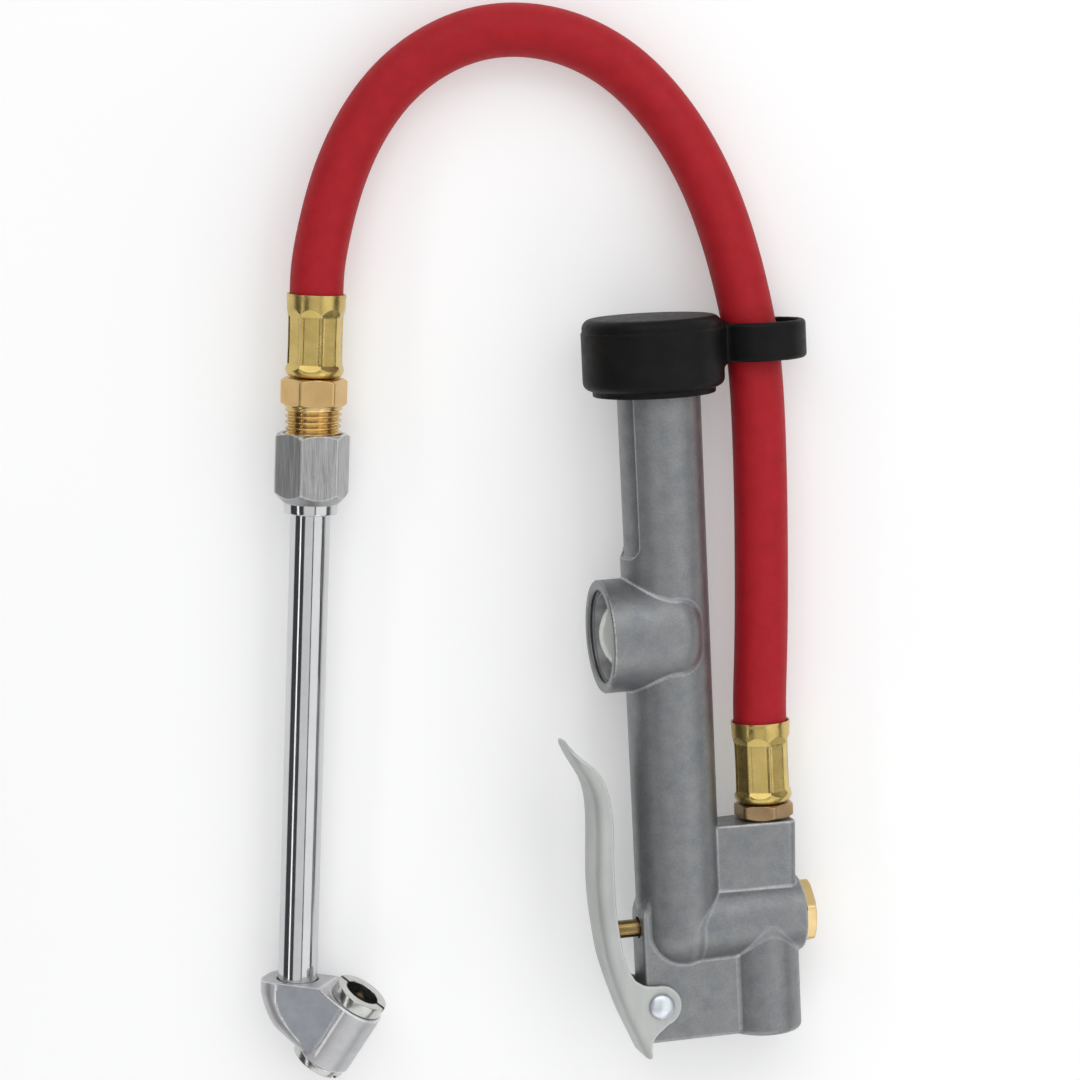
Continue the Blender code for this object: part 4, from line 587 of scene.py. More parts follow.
def surface_net(field, xs, ys, zs, rounds=4):
    """Meshes where field(x, y, z) is zero on a grid of these levels and settles the points on it."""
    axes = (xs, ys, zs)
    values = np.empty((len(xs), len(ys), len(zs)), np.float32)
    for i in range(0, len(xs), 12):
        grid = np.meshgrid(xs[i:i + 12], ys, zs, indexing="ij")
        values[i:i + 12] = field(*grid)
    inside = values < 0.0
    corners = [(i, j, k) for i in (0, 1) for j in (0, 1) for k in (0, 1)]
    size = np.array(values.shape) - 1
    count = np.zeros(size, np.int8)
    for i, j, k in corners:
        count += inside[i:size[0] + i, j:size[1] + j, k:size[2] + k]
    active = (count > 0) & (count < 8)
    cells = np.argwhere(active)
    index = np.full(active.shape, -1, np.int64)
    index[active] = np.arange(len(cells))
    total = np.zeros((len(cells), 3))
    number = np.zeros(len(cells))
    for axis in range(3):
        for low in corners:
            if low[axis]:
                continue
            high = tuple(v + (n == axis) for n, v in enumerate(low))
            first = values[tuple((cells + low).T)]
            second = values[tuple((cells + high).T)]
            crossed = (first < 0.0) != (second < 0.0)
            share = np.where(crossed, first / np.where(crossed, first - second, 1.0), 0.0)
            at_low = np.stack([axes[n][cells[:, n] + low[n]] for n in range(3)], 1)
            span = axes[axis][cells[:, axis] + 1] - axes[axis][cells[:, axis]]
            at_low[:, axis] += share * span
            total[crossed] += at_low[crossed]
            number[crossed] += 1
    points = total / number[:, None]
    faces = []
    for axis in range(3):
        one, two = (axis + 1) % 3, (axis + 2) % 3
        here = [slice(1, -1)] * 3
        here[axis] = slice(0, -1)
        there = list(here)
        there[axis] = slice(1, None)
        a, b = inside[tuple(here)], inside[tuple(there)]
        edges = np.argwhere(a != b)
        flip = ~a[tuple(edges.T)]
        edges[:, one] += 1
        edges[:, two] += 1
        quad = []
        for step_one, step_two in ((1, 1), (0, 1), (0, 0), (1, 0)):
            cell = edges.copy()
            cell[:, one] -= step_one
            cell[:, two] -= step_two
            quad.append(index[tuple(cell.T)])
        quad = np.stack(quad, 1)
        quad[flip] = quad[flip][:, ::-1]
        faces.append(quad)
    faces = np.concatenate(faces)
    step = min(np.diff(along).min() for along in axes)
    reach = step * 0.05
    for _ in range(rounds):
        slope = gradient(field, points, reach)
        value = field(points[:, 0], points[:, 1], points[:, 2])
        move = slope * (value / np.maximum((slope ** 2).sum(1), 0.05))[:, None]
        size = np.linalg.norm(move, axis=1, keepdims=True)
        points = points - move * np.minimum(1.0, step * 0.5 / np.maximum(size, 1e-9))
    return points, faces, gradient(field, points, reach)


def gradient(field, points, reach):
    """Central differences of a field at points."""
    result = np.empty_like(points)
    for axis in range(3):
        low, high = points.copy(), points.copy()
        low[:, axis] -= reach
        high[:, axis] += reach
        result[:, axis] = (field(*high.T) - field(*low.T)) / (2 * reach)
    return result


# ================================================================ valve body
def tube_radius(z):
    """The tube's outer radius; the casting has a slight draft."""
    return TUBE_LOW + (TUBE_HIGH - TUBE_LOW) * np.clip(z, 0.0, COLLAR_Z) / COLLAR_Z


def casting_field(x, y, z):
    """The die-cast body in its own frame."""
    radius = tube_radius(z)
    tube = np.sqrt(x * x + y * y + np.minimum(z, 0.0) ** 2) - radius
    valve_r = 9.7 - 0.5 * np.clip(x, 0.0, VALVE_END) / VALVE_END
    valve = both(rod(y, z, valve_r), slab(x, 0.0, VALVE_END), 0.6)
    solid = either(tube, valve, 0.4)

    tab = both(-(x + 10.3), -(z + 27.4), 1.8)
    lean_x, lean_z = -3.6 / 3.955, 1.64 / 3.955
    tab = both(tab, (x + 10.3) * lean_x + (z - 4.0) * lean_z, 0.5)
    tab = np.maximum(tab, np.maximum(x - INLET_X, z - 7.6))
    tab = both(tab, np.abs(y) - 5.2, 0.8)
    solid = either(solid, tab, 0.6)

    inlet = both(rod(x - INLET_X, y, 9.0), slab(z, INLET_BOTTOM, 0.0), 1.3)
    solid = either(solid, inlet, 0.5)

    rise = np.clip((z - 7.8) / (BLOCK_TOP - 7.8), 0.0, 1.0)
    flare = rise * np.clip((x - 7.0) / (BLOCK_END - 9.0), 0.0, 1.0)
    block = both(np.abs(y) - 5.4 - 1.7 * flare, x - BLOCK_END, 2.0)
    block = both(block, z - BLOCK_TOP, 0.45)
    block = np.maximum(block, np.maximum(-x, -z))
    solid = either(solid, block, 0.4)

    boss = both(rod(y, z - BOSS_Z, BOSS_R), x - BOSS_RIGHT, 6.2)
    boss = both(boss, BOSS_LEFT + 0.1 - x, 0.2)
    solid = either(solid, boss, 0.45)

    collar = both(rod(x, y, 13.2), slab(z, COLLAR_Z, TUBE_TOP + 4.0), 0.2)
    solid = np.minimum(solid, collar)
    solid = np.maximum(solid, z - TUBE_TOP)

    floor = radius - 1.0
    around = np.arctan2(y, -x) * floor
    wide = np.abs(around) - LABEL_HALF + LABEL_CORNER
    deep = LABEL_LOW - z + LABEL_CORNER
    round_part = np.hypot(np.maximum(wide, 0.0), np.maximum(deep, 0.0))
    label = np.where((wide > 0.0) & (deep > 0.0), round_part, np.maximum(wide, deep)) - LABEL_CORNER
    label = np.maximum(np.maximum(label, floor - np.hypot(x, y)), z - COLLAR_Z + FIT)
    solid = without(solid, label, 0.22)

    window = np.maximum(rod(y, z - BOSS_Z, 11.6), x + 10.2)
    opening = np.maximum(rod(y, z - BOSS_Z, 7.0), x)
    gauge = np.maximum(rod(x, y, 6.6), 12.0 - z)
    guide = np.maximum(rod(y, z, 2.55), x + 3.0)
    chamber = np.maximum(rod(y, z, 6.4), 7.0 - x)
    inlet_r = 6.2 - 0.5 * np.clip((z - INLET_BOTTOM) / 15.0, 0.0, 1.0)
    inlet_r += np.clip(INLET_BOTTOM + 0.6 - z, 0.0, 0.6)
    mouth = np.maximum(rod(x - INLET_X, y, inlet_r + 0.35), z - INLET_BOTTOM - 15.0)
    passage = np.maximum(rod(x - 18.0, y, 2.8), z)
    port = np.maximum(rod(x - HOSE_X, y, 5.0), 10.5 - z)
    rivet = rod(x - PIVOT[0], z - PIVOT[1], 1.75)
    bores = np.minimum.reduce([window, opening, gauge, guide, chamber, mouth, passage, port, rivet])
    return without(solid, bores, 0.18)


def body_casting():
    """The grey casting, with the rings of its two screwed mouths as liners."""
    heights = levels((-28.8, 27.0, 0.42), (27.0, 55.0, 1.4), (55.0, 97.0, 0.42), (97.0, 126.0, 1.9),
                     (126.0, 137.0, 0.5))
    points, faces, normals = surface_net(
        casting_field, levels((-17.6, 30.8, 0.42)), levels((-14.4, 14.4, 0.42)), heights)
    piece("die_cast_body", points, faces, BODY, "zinc_casting", ["body_casting"], normals=normals,
          field=casting_field)

    rim = [(13.38, -15.9), (13.38, -16.1), (13.1, -16.4), (11.35, -16.4), (10.95, -16.0)]
    for k in range(4):
        start = -15.7 + 1.25 * k
        rim += [(10.95, start), (11.35, start + 0.35), (11.35, start + 0.75), (10.95, start + 1.1)]
    rim += [(10.95, -10.3), (11.58, -10.3), (11.58, -15.9)]
    turned_piece("window_mouth", softened(rim, 0.18, closed=True), 128, BOSS, "zinc_casting")

    thread = [(6.53, INLET_BOTTOM + 1.0)]
    for k in range(10):
        start = INLET_BOTTOM + 1.1 + 1.35 * k
        r = 6.2 - 0.036 * (start - INLET_BOTTOM)
        thread += [(r, start + 0.35), (r, start + 0.55), (r + 0.36, start + 0.95), (r + 0.36, start + 1.1)]
    thread.append((6.0, INLET_BOTTOM + 14.95))
    thread.append((6.4, INLET_BOTTOM + 14.95))
    turned_piece("inlet_thread", thread, 96, BODY @ shift(x=INLET_X), "zinc_casting")


def boot_field(x, y, z):
    """The rubber boot with its hose ring."""
    outer = np.hypot(x + 0.5, y)
    wide = 16.7 - 0.28 * np.clip((z - 142.15) / 0.25, 0.0, 1.0)
    cap = both(outer - wide, z - 145.4 - 0.4 * np.clip(1.0 - outer / 14.0, 0.0, 1.0), 2.3)
    cap = both(cap, 128.6 - z, 2.1)
    lip = both(outer - 14.5, slab(z, 127.2, 130.0), 0.35)
    solid = either(cap, lip, 0.3)
    ring = both(rod(x - 26.1, y, 10.7), slab(z, 133.8, 143.0), 1.1)
    neck = both(np.abs(y) - np.clip(5.8 - (x - 15.2) * 1.6, 2.0, 5.8), slab(z, 134.4, 142.4), 0.5)
    neck = np.maximum(neck, slab(x, 14.0, 17.4))
    solid = either(solid, np.minimum(ring, neck), 2.2)
    hole = rod(x - 26.1, y, 9.2)
    solid = without(solid, hole, 0.6)
    cavity = np.maximum(rod(x, y, 13.7), slab(z, 129.9, 142.4))
    entry = np.maximum(rod(x, y, 10.65), z - 135.0)
    return without(solid, np.minimum(cavity, entry), 0.2)


def rubber_boot():
    """The black boot over the gauge end."""
    points, faces, normals = surface_net(
        boot_field, levels((-17.4, 37.5, 0.5)), levels((-17.4, 17.4, 0.5)), levels((126.6, 146.4, 0.42)))
    piece("gauge_boot", points, faces, BODY, "black_rubber", ["rubber_boot"], normals=normals)


def window():
    """The domed window, its ring and the drum behind it."""
    back, face, dome = -10.5, -11.7, 10.0
    centre = BOSS_LEFT + dome + 0.1
    start = math.acos((centre - face) / dome)
    profile = [(0.01, back), (10.2, back), (10.5, back - 0.3), (10.5, face + 0.2), (10.3, face)]
    turns = [start * k / 20 for k in range(20, 0, -1)]
    profile += [(dome * math.sin(a), centre - dome * math.cos(a)) for a in turns]
    turned_piece("magnifying_window", profile, 128, BOSS, "clear_acrylic", loop=False, nodes=["window_lens"])

    high = -12.0
    rim = [(10.55, high), (10.55, high - 3.0), (10.05, high - 3.0), (8.85, high - 0.4), (8.85, high)]
    rim = softened(rim, 0.3, 4, closed=True)
    turned_piece("window_ring", rim, 128, BOSS, "zinc_casting", nodes=["lens_ring"])

    floor = DRUM_LOW + DRUM_END
    drum = [(6.1, DRUM_LOW), (6.1, DRUM_HIGH), (4.8, DRUM_HIGH), (4.8, floor), (0.01, floor)]
    turned_piece("indicator_drum", [(0.01, DRUM_LOW), *softened(drum, 0.25)], 96, BODY, "white_nylon",
                 nodes=["gauge_drum"], body="gauge_piston")


# ================================================================ lever and valve
WEB = [
    (-27.2, 47.1), (-25.6, 43.4), (-23.8, 40.0), (-22.0, 36.6), (-21.0, 32.5), (-20.8, 27.1), (-21.1, 20.1),
    (-21.4, 13.0), (-21.2, 6.5), (-20.6, 0.4), (-19.8, -5.5), (-18.7, -10.0), (-17.2, -15.0), (-15.3, -20.6),
    (-12.6, -26.9), (-11.0, -30.6),
]
FLANGE = [
    (-26.2, 46.3), (-24.3, 43.8), (-22.0, 41.8), (-19.9, 39.6), (-18.4, 37.0), (-17.4, 33.1), (-16.9, 29.0),
    (-16.8, 24.4), (-17.0, 19.1), (-17.1, 11.5), (-17.0, 6.2), (-16.5, 0.9), (-15.8, -4.5), (-14.8, -8.3),
]
THROAT = [(-13.1, -11.2), (-10.8, -12.75)]
TAIL = [(-7.9, -24.7), (-9.1, -26.0), (-9.6, -27.4), (-9.7, -29.0), (-9.6, -30.6), (-10.1, -31.0)]
TIP_HIGH, TIP_LONG = 47.5, 6.0
TIP = [(-26.25, 46.85), (-26.55, 47.2), (-26.9, 47.3)]


def plane_line(points, count):
    """A smooth plane line through given points."""
    return [tuple(point) for point in spline([(x, 0.0, z) for x, z in points], count)[0][:, [0, 2]]]


def lever_outline():
    """The lever's side outline."""
    ear = [(PIVOT[0] + 4.95 * math.cos(a), PIVOT[1] + 4.95 * math.sin(a))
           for a in np.radians(np.linspace(98.0, -72.0, 16))]
    front = plane_line([*THROAT, ear[0]], 6)[:-1] + ear + TAIL
    return plane_line(WEB, 44) + front[::-1] + plane_line(FLANGE, 30)[::-1] + TIP


def pressed_lever():
    """The pressed steel lever: a channel with rounded bends and thin flanges."""
    outline = lever_outline()
    web = plane_line(WEB, 44)
    web_side = [(-60.0, 61.1), *web, (-9.0, -34.0), (60.0, -34.0), (60.0, 61.0)]
    xs, ys = levels((-28.6, -1.0, 0.33)), levels((-7.3, 7.3, 0.33))
    zs = levels((-31.8, 48.2, 0.42))

    def field(x, y, z):
        side = outline_field(x, z, outline)
        back = outline_field(x, z, web_side)
        tip = np.hypot(y * TIP_LONG / 6.7, np.maximum(z - TIP_HIGH + TIP_LONG, 0.0)) - TIP_LONG
        wide = np.where(z > TIP_HIGH - TIP_LONG, tip, np.abs(y) - 6.7)
        sheet = both(side, wide, 0.3)
        sheet = np.maximum(sheet, both(back, np.abs(y) - 6.7, 2.2))
        hollow = both(back + 1.2, np.abs(y) - 5.5, 1.0)
        sheet = without(sheet, hollow, 0.15)
        return without(sheet, rod(x - PIVOT[0], z - PIVOT[1], 1.75), 0.1)

    points, faces, normals = surface_net(field, xs, ys, zs)
    piece("thumb_lever", points, faces, BODY, "plated_steel", ["lever"], "lever", normals=normals,
          field=field)


def rivet():
    """The domed rivet."""
    face = 6.7 + FIT
    dome = [(3.1 * math.sin(a), -face - 1.3 * math.cos(a)) for a in np.radians(np.linspace(3, 84, 14))]
    half = [*dome, (3.1, -face - 0.12), (3.0, -face), (1.45, -face)]
    profile = half + [(r, -z) for r, z in half[::-1]]
    place = BODY @ shift(PIVOT[0], 0.0, PIVOT[1]) @ ACROSS
    turned_piece("rivet", profile, 72, place, "bright_steel", loop=False, nodes=["lever_rivet"])


def pin():
    """The brass push pin."""
    points = node_points("push_pin") - np.array(BODY_O)
    low = (points @ np.array(BODY_X)).min() / MM
    high = (points @ np.array(BODY_X)).max() / MM
    angles = np.radians(np.linspace(3, 90, 12))
    profile = [(2.13 * math.sin(a), low + 1.1 * (1 - math.cos(a))) for a in angles]
    profile += [(2.13, -6.85), (1.33, -6.85), (1.33, -5.55), (2.13, -5.55), (2.13, high)]
    turned_piece("valve_pin", profile, 64, VALVE, "pin_brass", loop=False, nodes=["push_pin"],
                 body="valve_stem")


def hex_plug():
    """The light brass hexagon plug."""
    low, high = VALVE_END + FIT, VALVE_END + FIT + 2.4
    turn = math.radians(90.0 - 17.0)

    def radius(angle, z):
        flat = hex_radius(angle, 14.3, turn, 0.12)
        chamfer = 14.3 / math.sqrt(3.0) + 0.05 - np.maximum(z - (high - 0.55), 0.0) * 1.6
        return np.minimum(flat, chamfer) - max(z - (high - 0.12), 0.0) * 0.8

    heights = [low, low + 0.1, *np.linspace(low + 0.3, high - 0.55, 4), *np.linspace(high - 0.5, high, 9)]
    points, faces = shaped(radius, heights, 144)
    piece("plug_hexagon", points, faces, VALVE, "pale_brass", ["valve_plug"])
    shank = [(0.01, 24.8), (4.2, 24.8), (4.2, 21.5), (5.8, 21.5), (6.1, 21.8), (6.1, 26.4), (4.9, 26.4),
             (4.9, 28.2), (6.1, 28.2), (6.1, low), (0.01, low)]
    turned_piece("plug_shank", shank, 64, VALVE, "pale_brass", loop=False)


# ================================================================ hose and fittings
def fitting_hexagon(name, across, low, high, turn, matrix, finish, nodes, chamfer):
    """A chamfered hexagon with a stem through it."""
    limit = across / math.sqrt(3.0)

    def radius(angle, z):
        flat = hex_radius(angle, across, turn, 0.15)
        cut = max(low + chamfer - z, z - high + chamfer, 0.0)
        return np.minimum(flat, limit + 0.05 - cut * 1.7)

    heights = [*np.linspace(low, low + chamfer, 7), *np.linspace(low + chamfer, high - chamfer, 5)[1:-1],
               *np.linspace(high - chamfer, high, 7)]
    points, faces = shaped(radius, heights, 144)
    piece(name, points, faces, matrix, finish, nodes)


def crimp(name, turn, matrix, nodes):
    """A crimped ferrule: eight pressed flats that lean out at both ends, thin ridges, bead and mouth."""
    round_z = [0.0, 0.35, 0.8, 1.5, 2.4, 13.0, 16.0, 18.6, 19.3, FERRULE_LONG]
    round_r = [5.9, 6.35, 6.68, 6.9, 6.9, 6.85, 6.88, 6.98, 7.08, 7.02]
    flat_z = [0.0, 1.5, 2.9, 3.3, 8.5, 14.0, 14.3, 16.4, FERRULE_LONG]
    flat_r = [7.3, 6.95, 6.08, 5.99, 5.94, 5.99, 6.04, 6.95, 7.6]
    half = math.pi / 8
    blend = 0.06

    def radius(angle, z):
        local = angle % (2 * half) - half
        flat = np.interp(z, flat_z, flat_r) / np.cos(local)
        barrel = np.interp(z, round_z, round_r)
        share = np.clip(0.5 + (barrel - flat) / (2 * blend), 0.0, 1.0)
        meet = barrel + (flat - barrel) * share - blend * share * (1.0 - share)
        beside = (half - np.abs(local)) * 6.4
        run = np.clip(min(z - 2.6, 14.9 - z) / 0.8, 0.0, 1.0)
        ridge = 0.13 * np.exp(-(beside / 0.2) ** 2)
        groove = 0.05 * np.exp(-((beside - 0.55) / 0.16) ** 2)
        return meet + run * (ridge - groove)

    spans = ((0.0, 3.6, 26), (4.0, 13.4, 14), (13.7, 16.9, 26), (17.2, 18.6, 4), (18.8, FERRULE_LONG, 7))
    heights = np.concatenate([np.linspace(*span) for span in spans])
    inner = [(HOSE_R + 0.42, FERRULE_LONG - 0.05), (HOSE_R + 0.3, FERRULE_LONG - 0.3), (HOSE_R + 0.3, 17.4),
             (5.5, 16.6), (5.5, 0.9), (3.5, 0.0)]
    points, faces = shaped(radius, heights, 256, inner)
    piece(name, points, faces, matrix @ Matrix.Rotation(turn, 4, "Z"), "brass", nodes, sharp=60.0)


HOSE_SHIFT = (0.000540, 0.034784, 0.0)
HOSE_MIDDLE = [
    (0.05258, -0.0290, 0.0110), (0.05268, -0.0205, 0.0110), (0.05268, -0.01306, 0.0110),
    (0.05245, 0.00609, 0.0110), (0.05200, 0.0220, 0.0110),
    (0.05125, 0.0370, 0.0110), (0.05000, 0.0489, 0.0109), (0.04792, 0.0590, 0.0105),
    (0.04500, 0.0704, 0.0097), (0.04115, 0.0817, 0.0087), (0.03700, 0.0906, 0.0079),
    (0.03240, 0.0984, 0.0072), (0.02710, 0.1052, 0.0068), (0.02130, 0.1112, 0.0066),
    (0.01450, 0.1160, 0.0065), (0.00700, 0.1195, 0.0065), (-0.00120, 0.1214, 0.0065),
    (-0.00960, 0.1216, 0.0065), (-0.01790, 0.1199, 0.0066), (-0.02550, 0.1163, 0.0068),
    (-0.03230, 0.1114, 0.0071), (-0.03790, 0.1053, 0.0075), (-0.04250, 0.0982, 0.0080),
    (-0.04622, 0.0903, 0.0087), (-0.04910, 0.0817, 0.0094), (-0.05097, 0.0735, 0.0100),
]


def hose():
    """The red hose: one smooth run from the body's ferrule to the chuck's."""
    mouth = FERRULE_LONG - HOSE_MOUTH + FIT - 0.5
    start = BODY @ Vector((HOSE_X, 0.0, LOWER_FERRULE_Z + mouth))
    start_way = BODY.to_3x3().col[2].normalized()
    end = CHUCK @ Vector((0.0, 0.0, UPPER_FERRULE_Z + mouth))
    end_way = CHUCK.to_3x3().col[2].normalized()
    route = [start, start + start_way * 0.007]
    route += [Vector(point) + Vector(HOSE_SHIFT) for point in HOSE_MIDDLE]
    route += [end + end_way * 0.010, end]
    count = 180
    points, total = spline(route, count)
    reach = np.minimum(np.arange(count), np.arange(count)[::-1]) * total / (count - 1) / MM
    hold = np.clip((reach - 3.0) / 8.0, 0.0, 1.0)[:, None]
    for _ in range(20):
        eased = points.copy()
        eased[1:-1] = (points[:-2] + 2 * points[1:-1] + points[2:]) / 4
        points = points + (eased - points) * hold
    curve = bpy.data.curves.new("red_hose", "CURVE")
    curve.dimensions = "3D"
    curve.bevel_depth = HOSE_R * MM
    curve.bevel_resolution = 14
    curve.use_fill_caps = True
    run = curve.splines.new("POLY")
    run.points.add(len(points) - 1)
    for slot, point in zip(run.points, points):
        slot.co = (*point, 1.0)
    run.use_smooth = True
    item = bpy.data.objects.new("red_hose", curve)
    bpy.context.scene.collection.objects.link(item)
    dress(item, "red_rubber", ["hose"])
    tuple(points[0])


def hose_hardware():
    """Hexagons, threads, ferrules and stems at both ends of the hose."""
    shelf = BODY @ shift(x=HOSE_X)
    fitting_hexagon("shelf_hexagon", 12.6, SHELF_Z, SHELF_Z + SHELF_HIGH, math.radians(34.0), shelf,
                    "dark_brass", ["body_fitting"], 0.55)
    stem = [(4.1, -10.0), (4.7, -9.2), (4.7, 0.2), (3.2, 3.0), (3.2, 18.0), (1.9, 18.0), (1.9, -10.0)]
    stem = softened([(r, SHELF_Z + z) for r, z in stem], 0.2, closed=True)
    turned_piece("shelf_stem", stem, 64, shelf, "dark_brass")
    crimp("body_ferrule", math.radians(-1.0), BODY @ shift(HOSE_X, 0.0, LOWER_FERRULE_Z), ["lower_ferrule"])
    crimp("chuck_ferrule", math.radians(-11.0), CHUCK @ shift(z=UPPER_FERRULE_Z), ["upper_ferrule"])

    fitting_hexagon("adapter_hexagon", 14.0, ADAPTER_LOW, ADAPTER_HIGH, math.radians(29.0), CHUCK,
                    "peach_brass", ["hose_adapter"], 0.7)
    pitch, taper, end = 1.41, 0.03125, ADAPTER_LOW + 0.1

    def thread(angle, z):
        base = 6.85 - taper * (ADAPTER_LOW - z)
        turn = (z / pitch - angle / (2 * math.pi)) % 1.0
        depth = np.abs(turn - 0.5) * 2.0
        fade = min(1.0, max(0.0, (ADAPTER_LOW - 0.3 - z) / 0.7))
        return base - np.clip(depth * 1.25 - 0.12, 0.0, 1.0) * 0.78 * fade

    heights = np.concatenate([np.linspace(124.0, 132.0, 24), np.linspace(132.06, end, 110)])
    points, faces = shaped(thread, heights, 96, [(3.0, end), (1.9, end), (1.9, 124.0)])
    piece("adapter_thread", points, faces, CHUCK, "gold_brass", sharp=60.0)


# ================================================================ chuck
def coupling():
    """The hexagon coupling with its collar."""
    turn = math.radians(-90.0 + 5.5)
    across, low, high = 15.9, 116.1, 132.9
    limit = across / math.sqrt(3.0)

    def radius(angle, z):
        flat = hex_radius(angle, across, turn, 0.12)
        top = limit - np.maximum(z - (high - 0.8), 0.0) * 1.5
        bottom = 6.4 + (z - low) * (limit - 6.4) / 2.8
        return np.minimum(np.minimum(flat, top), bottom)

    heights = [*np.linspace(low, low + 2.8, 22), *np.linspace(low + 3.1, high - 1.1, 10),
               *np.linspace(high - 0.8, high, 8)]
    bore = [(7.3, high), (7.05, high - 0.4), (7.1, 123.2), (5.06, 123.2), (5.06, low)]
    points, faces = shaped(radius, heights, 192, bore)
    piece("coupling_hexagon", points, faces, CHUCK, "brushed_chrome", ["hex_coupling"], sharp=30.0)
    collar = softened([(5.06, 113.7), (6.4, 113.7), (6.4, 117.2), (5.06, 117.2)], 0.4, 4, closed=True)
    turned_piece("coupling_collar", collar, 96, CHUCK, "chrome")


def pipe():
    """The chromed pipe."""
    profile = [(3.4, CHUCK_LOW), (CHUCK_R, CHUCK_LOW), (CHUCK_R, CHUCK_HIGH), (3.4, CHUCK_HIGH)]
    turned_piece("chrome_pipe", profile, 96, CHUCK, "chrome", nodes=["chuck_tube"])


HEAD_LEFT = [(-8.2, 0.0), (-8.2, -2.6), (-7.9, -4.3), (-6.9, -7.2), (-5.5, -10.0), (-3.9, -12.0),
             (-0.9, -14.5), (3.0, -17.75)]
HEAD_BEND = 8.2
PANEL = [(-2.7, 3.0), (-2.75, -4.7), (-1.7, -7.3), (0.6, -10.6), (6.3, -16.4), (9.5, -13.2), (14.2, -4.4),
         (HEAD_BEND, -0.25), (HEAD_BEND, 3.0)]
CHEEK_HALF, PANEL_HALF, CHEEK_SHIFT = 6.85, 6.55, 0.45


def chuck_head():
    """The cast chrome head: cheek, sunken panels and the barrel of the two feet."""
    left = [(HEAD_LEFT[0][0], 30.0), *plane_line(HEAD_LEFT, 36), (60.0, -60.0), (60.0, 30.0)]
    cos, sin = math.cos(FOOT_ANGLE), math.sin(FOOT_ANGLE)
    rise = FOOT_HALF - 0.2
    edge = Vector((FOOT_X + sin * rise - HEAD_BEND, FOOT_Z + cos * rise)).normalized()

    def field(x, y, z):
        reach_x, reach_z = x - FOOT_X, z - FOOT_Z
        u = reach_x * cos - reach_z * sin
        w = reach_x * sin + reach_z * cos
        cheek = both(outline_field(x, z, left), np.abs(y + CHEEK_SHIFT) - CHEEK_HALF, 5.0)
        cheek = both(cheek, z, 0.25)
        cheek = both(cheek, z * edge.x - (x - HEAD_BEND) * edge.y, 0.25)
        cheek = np.maximum(cheek, -w - FOOT_HALF + 0.4)
        cheek = np.maximum(cheek, u)
        panel = np.maximum(outline_field(x, z, PANEL), PANEL_HALF - np.abs(y + CHEEK_SHIFT))
        cheek = without(cheek, panel, 0.15)
        barrel = both(rod(u, y, FOOT_R), np.abs(w) - FOOT_HALF, 0.5)
        solid = either(cheek, barrel, 0.35)
        seat = np.maximum(rod(u, y, 5.2), 4.7 - np.abs(w))
        core = rod(u, y, 4.2)
        socket = np.maximum(rod(x, y, 5.05), -7.2 - z)
        return without(solid, np.minimum.reduce([seat, core, socket]), 0.2)

    points, faces, normals = surface_net(
        field, levels((-9.8, 22.4, 0.32)), levels((-8.2, 8.2, 0.32)), levels((-23.2, 1.0, 0.32)))
    item = piece("chuck_casting", points, faces, CHUCK, ("cast_chrome", "satin_chrome"), ["chuck_head"],
                 normals=normals, field=field)
    middle = points[faces].mean(1)
    flat = np.abs(normals[faces].mean(1)[:, 1]) > 0.9
    sunk = flat & (np.abs(np.abs(middle[:, 1] + CHEEK_SHIFT) - PANEL_HALF) < 0.15)
    sunk &= outline_field(middle[:, 0], middle[:, 2], PANEL) < 0.0
    item.data.polygons.foreach_set("material_index", sunk.astype(np.int32))
    item.data.update()


def foot_hardware():
    """Caps, washers and plungers at both feet."""
    flip = Matrix.Rotation(math.pi, 4, "Y")
    for end, turn, tall, slot_turn in (("front", Matrix.Identity(4), 2.9, 0.0), ("rear", flip, 1.8, 24.0)):
        place = FOOT @ turn
        low = FOOT_HALF + 0.06
        high = FOOT_HALF + FIT + tall
        cap = [(4.25, low - 1.2), (4.9, low - 1.2), (4.9, low), (6.65, low), (6.65, high), (4.25, high)]
        cap = softened(cap, 0.35, 4, closed=True)
        item = turned_piece(f"{end}_foot_ring", cap, 144, place, "ring_chrome", nodes=[f"{end}_cap"])
        cut_slot(item, place @ Matrix.Rotation(math.radians(slot_turn), 4, "Z"), high)
        washer = softened([(4.9, 5.0), (4.9, 6.95), (1.9, 6.95), (1.9, 5.0)], 0.25, closed=True)
        turned_piece(f"{end}_foot_washer", washer, 72, place, "black_rubber", nodes=[f"{end}_washer"])
        plunger = [(0.01, 3.5), (3.1, 3.5), (3.4, 3.8), (3.4, 4.7), (1.1, 4.7), (1.1, 6.3), (0.8, 6.6),
                   (0.01, 6.6)]
        turned_piece(f"{end}_foot_plunger", softened(plunger, 0.12), 64, place, "dark_brass", loop=False,
                     nodes=[f"{end}_plunger"], body=f"{end}_plunger", slot="brass")


def link_mesh(name, form):
    """Makes an object of a bmesh and links it to the scene."""
    mesh = bpy.data.meshes.new(name)
    form.to_mesh(mesh)
    form.free()
    item = bpy.data.objects.new(name, mesh)
    bpy.context.scene.collection.objects.link(item)
    return item


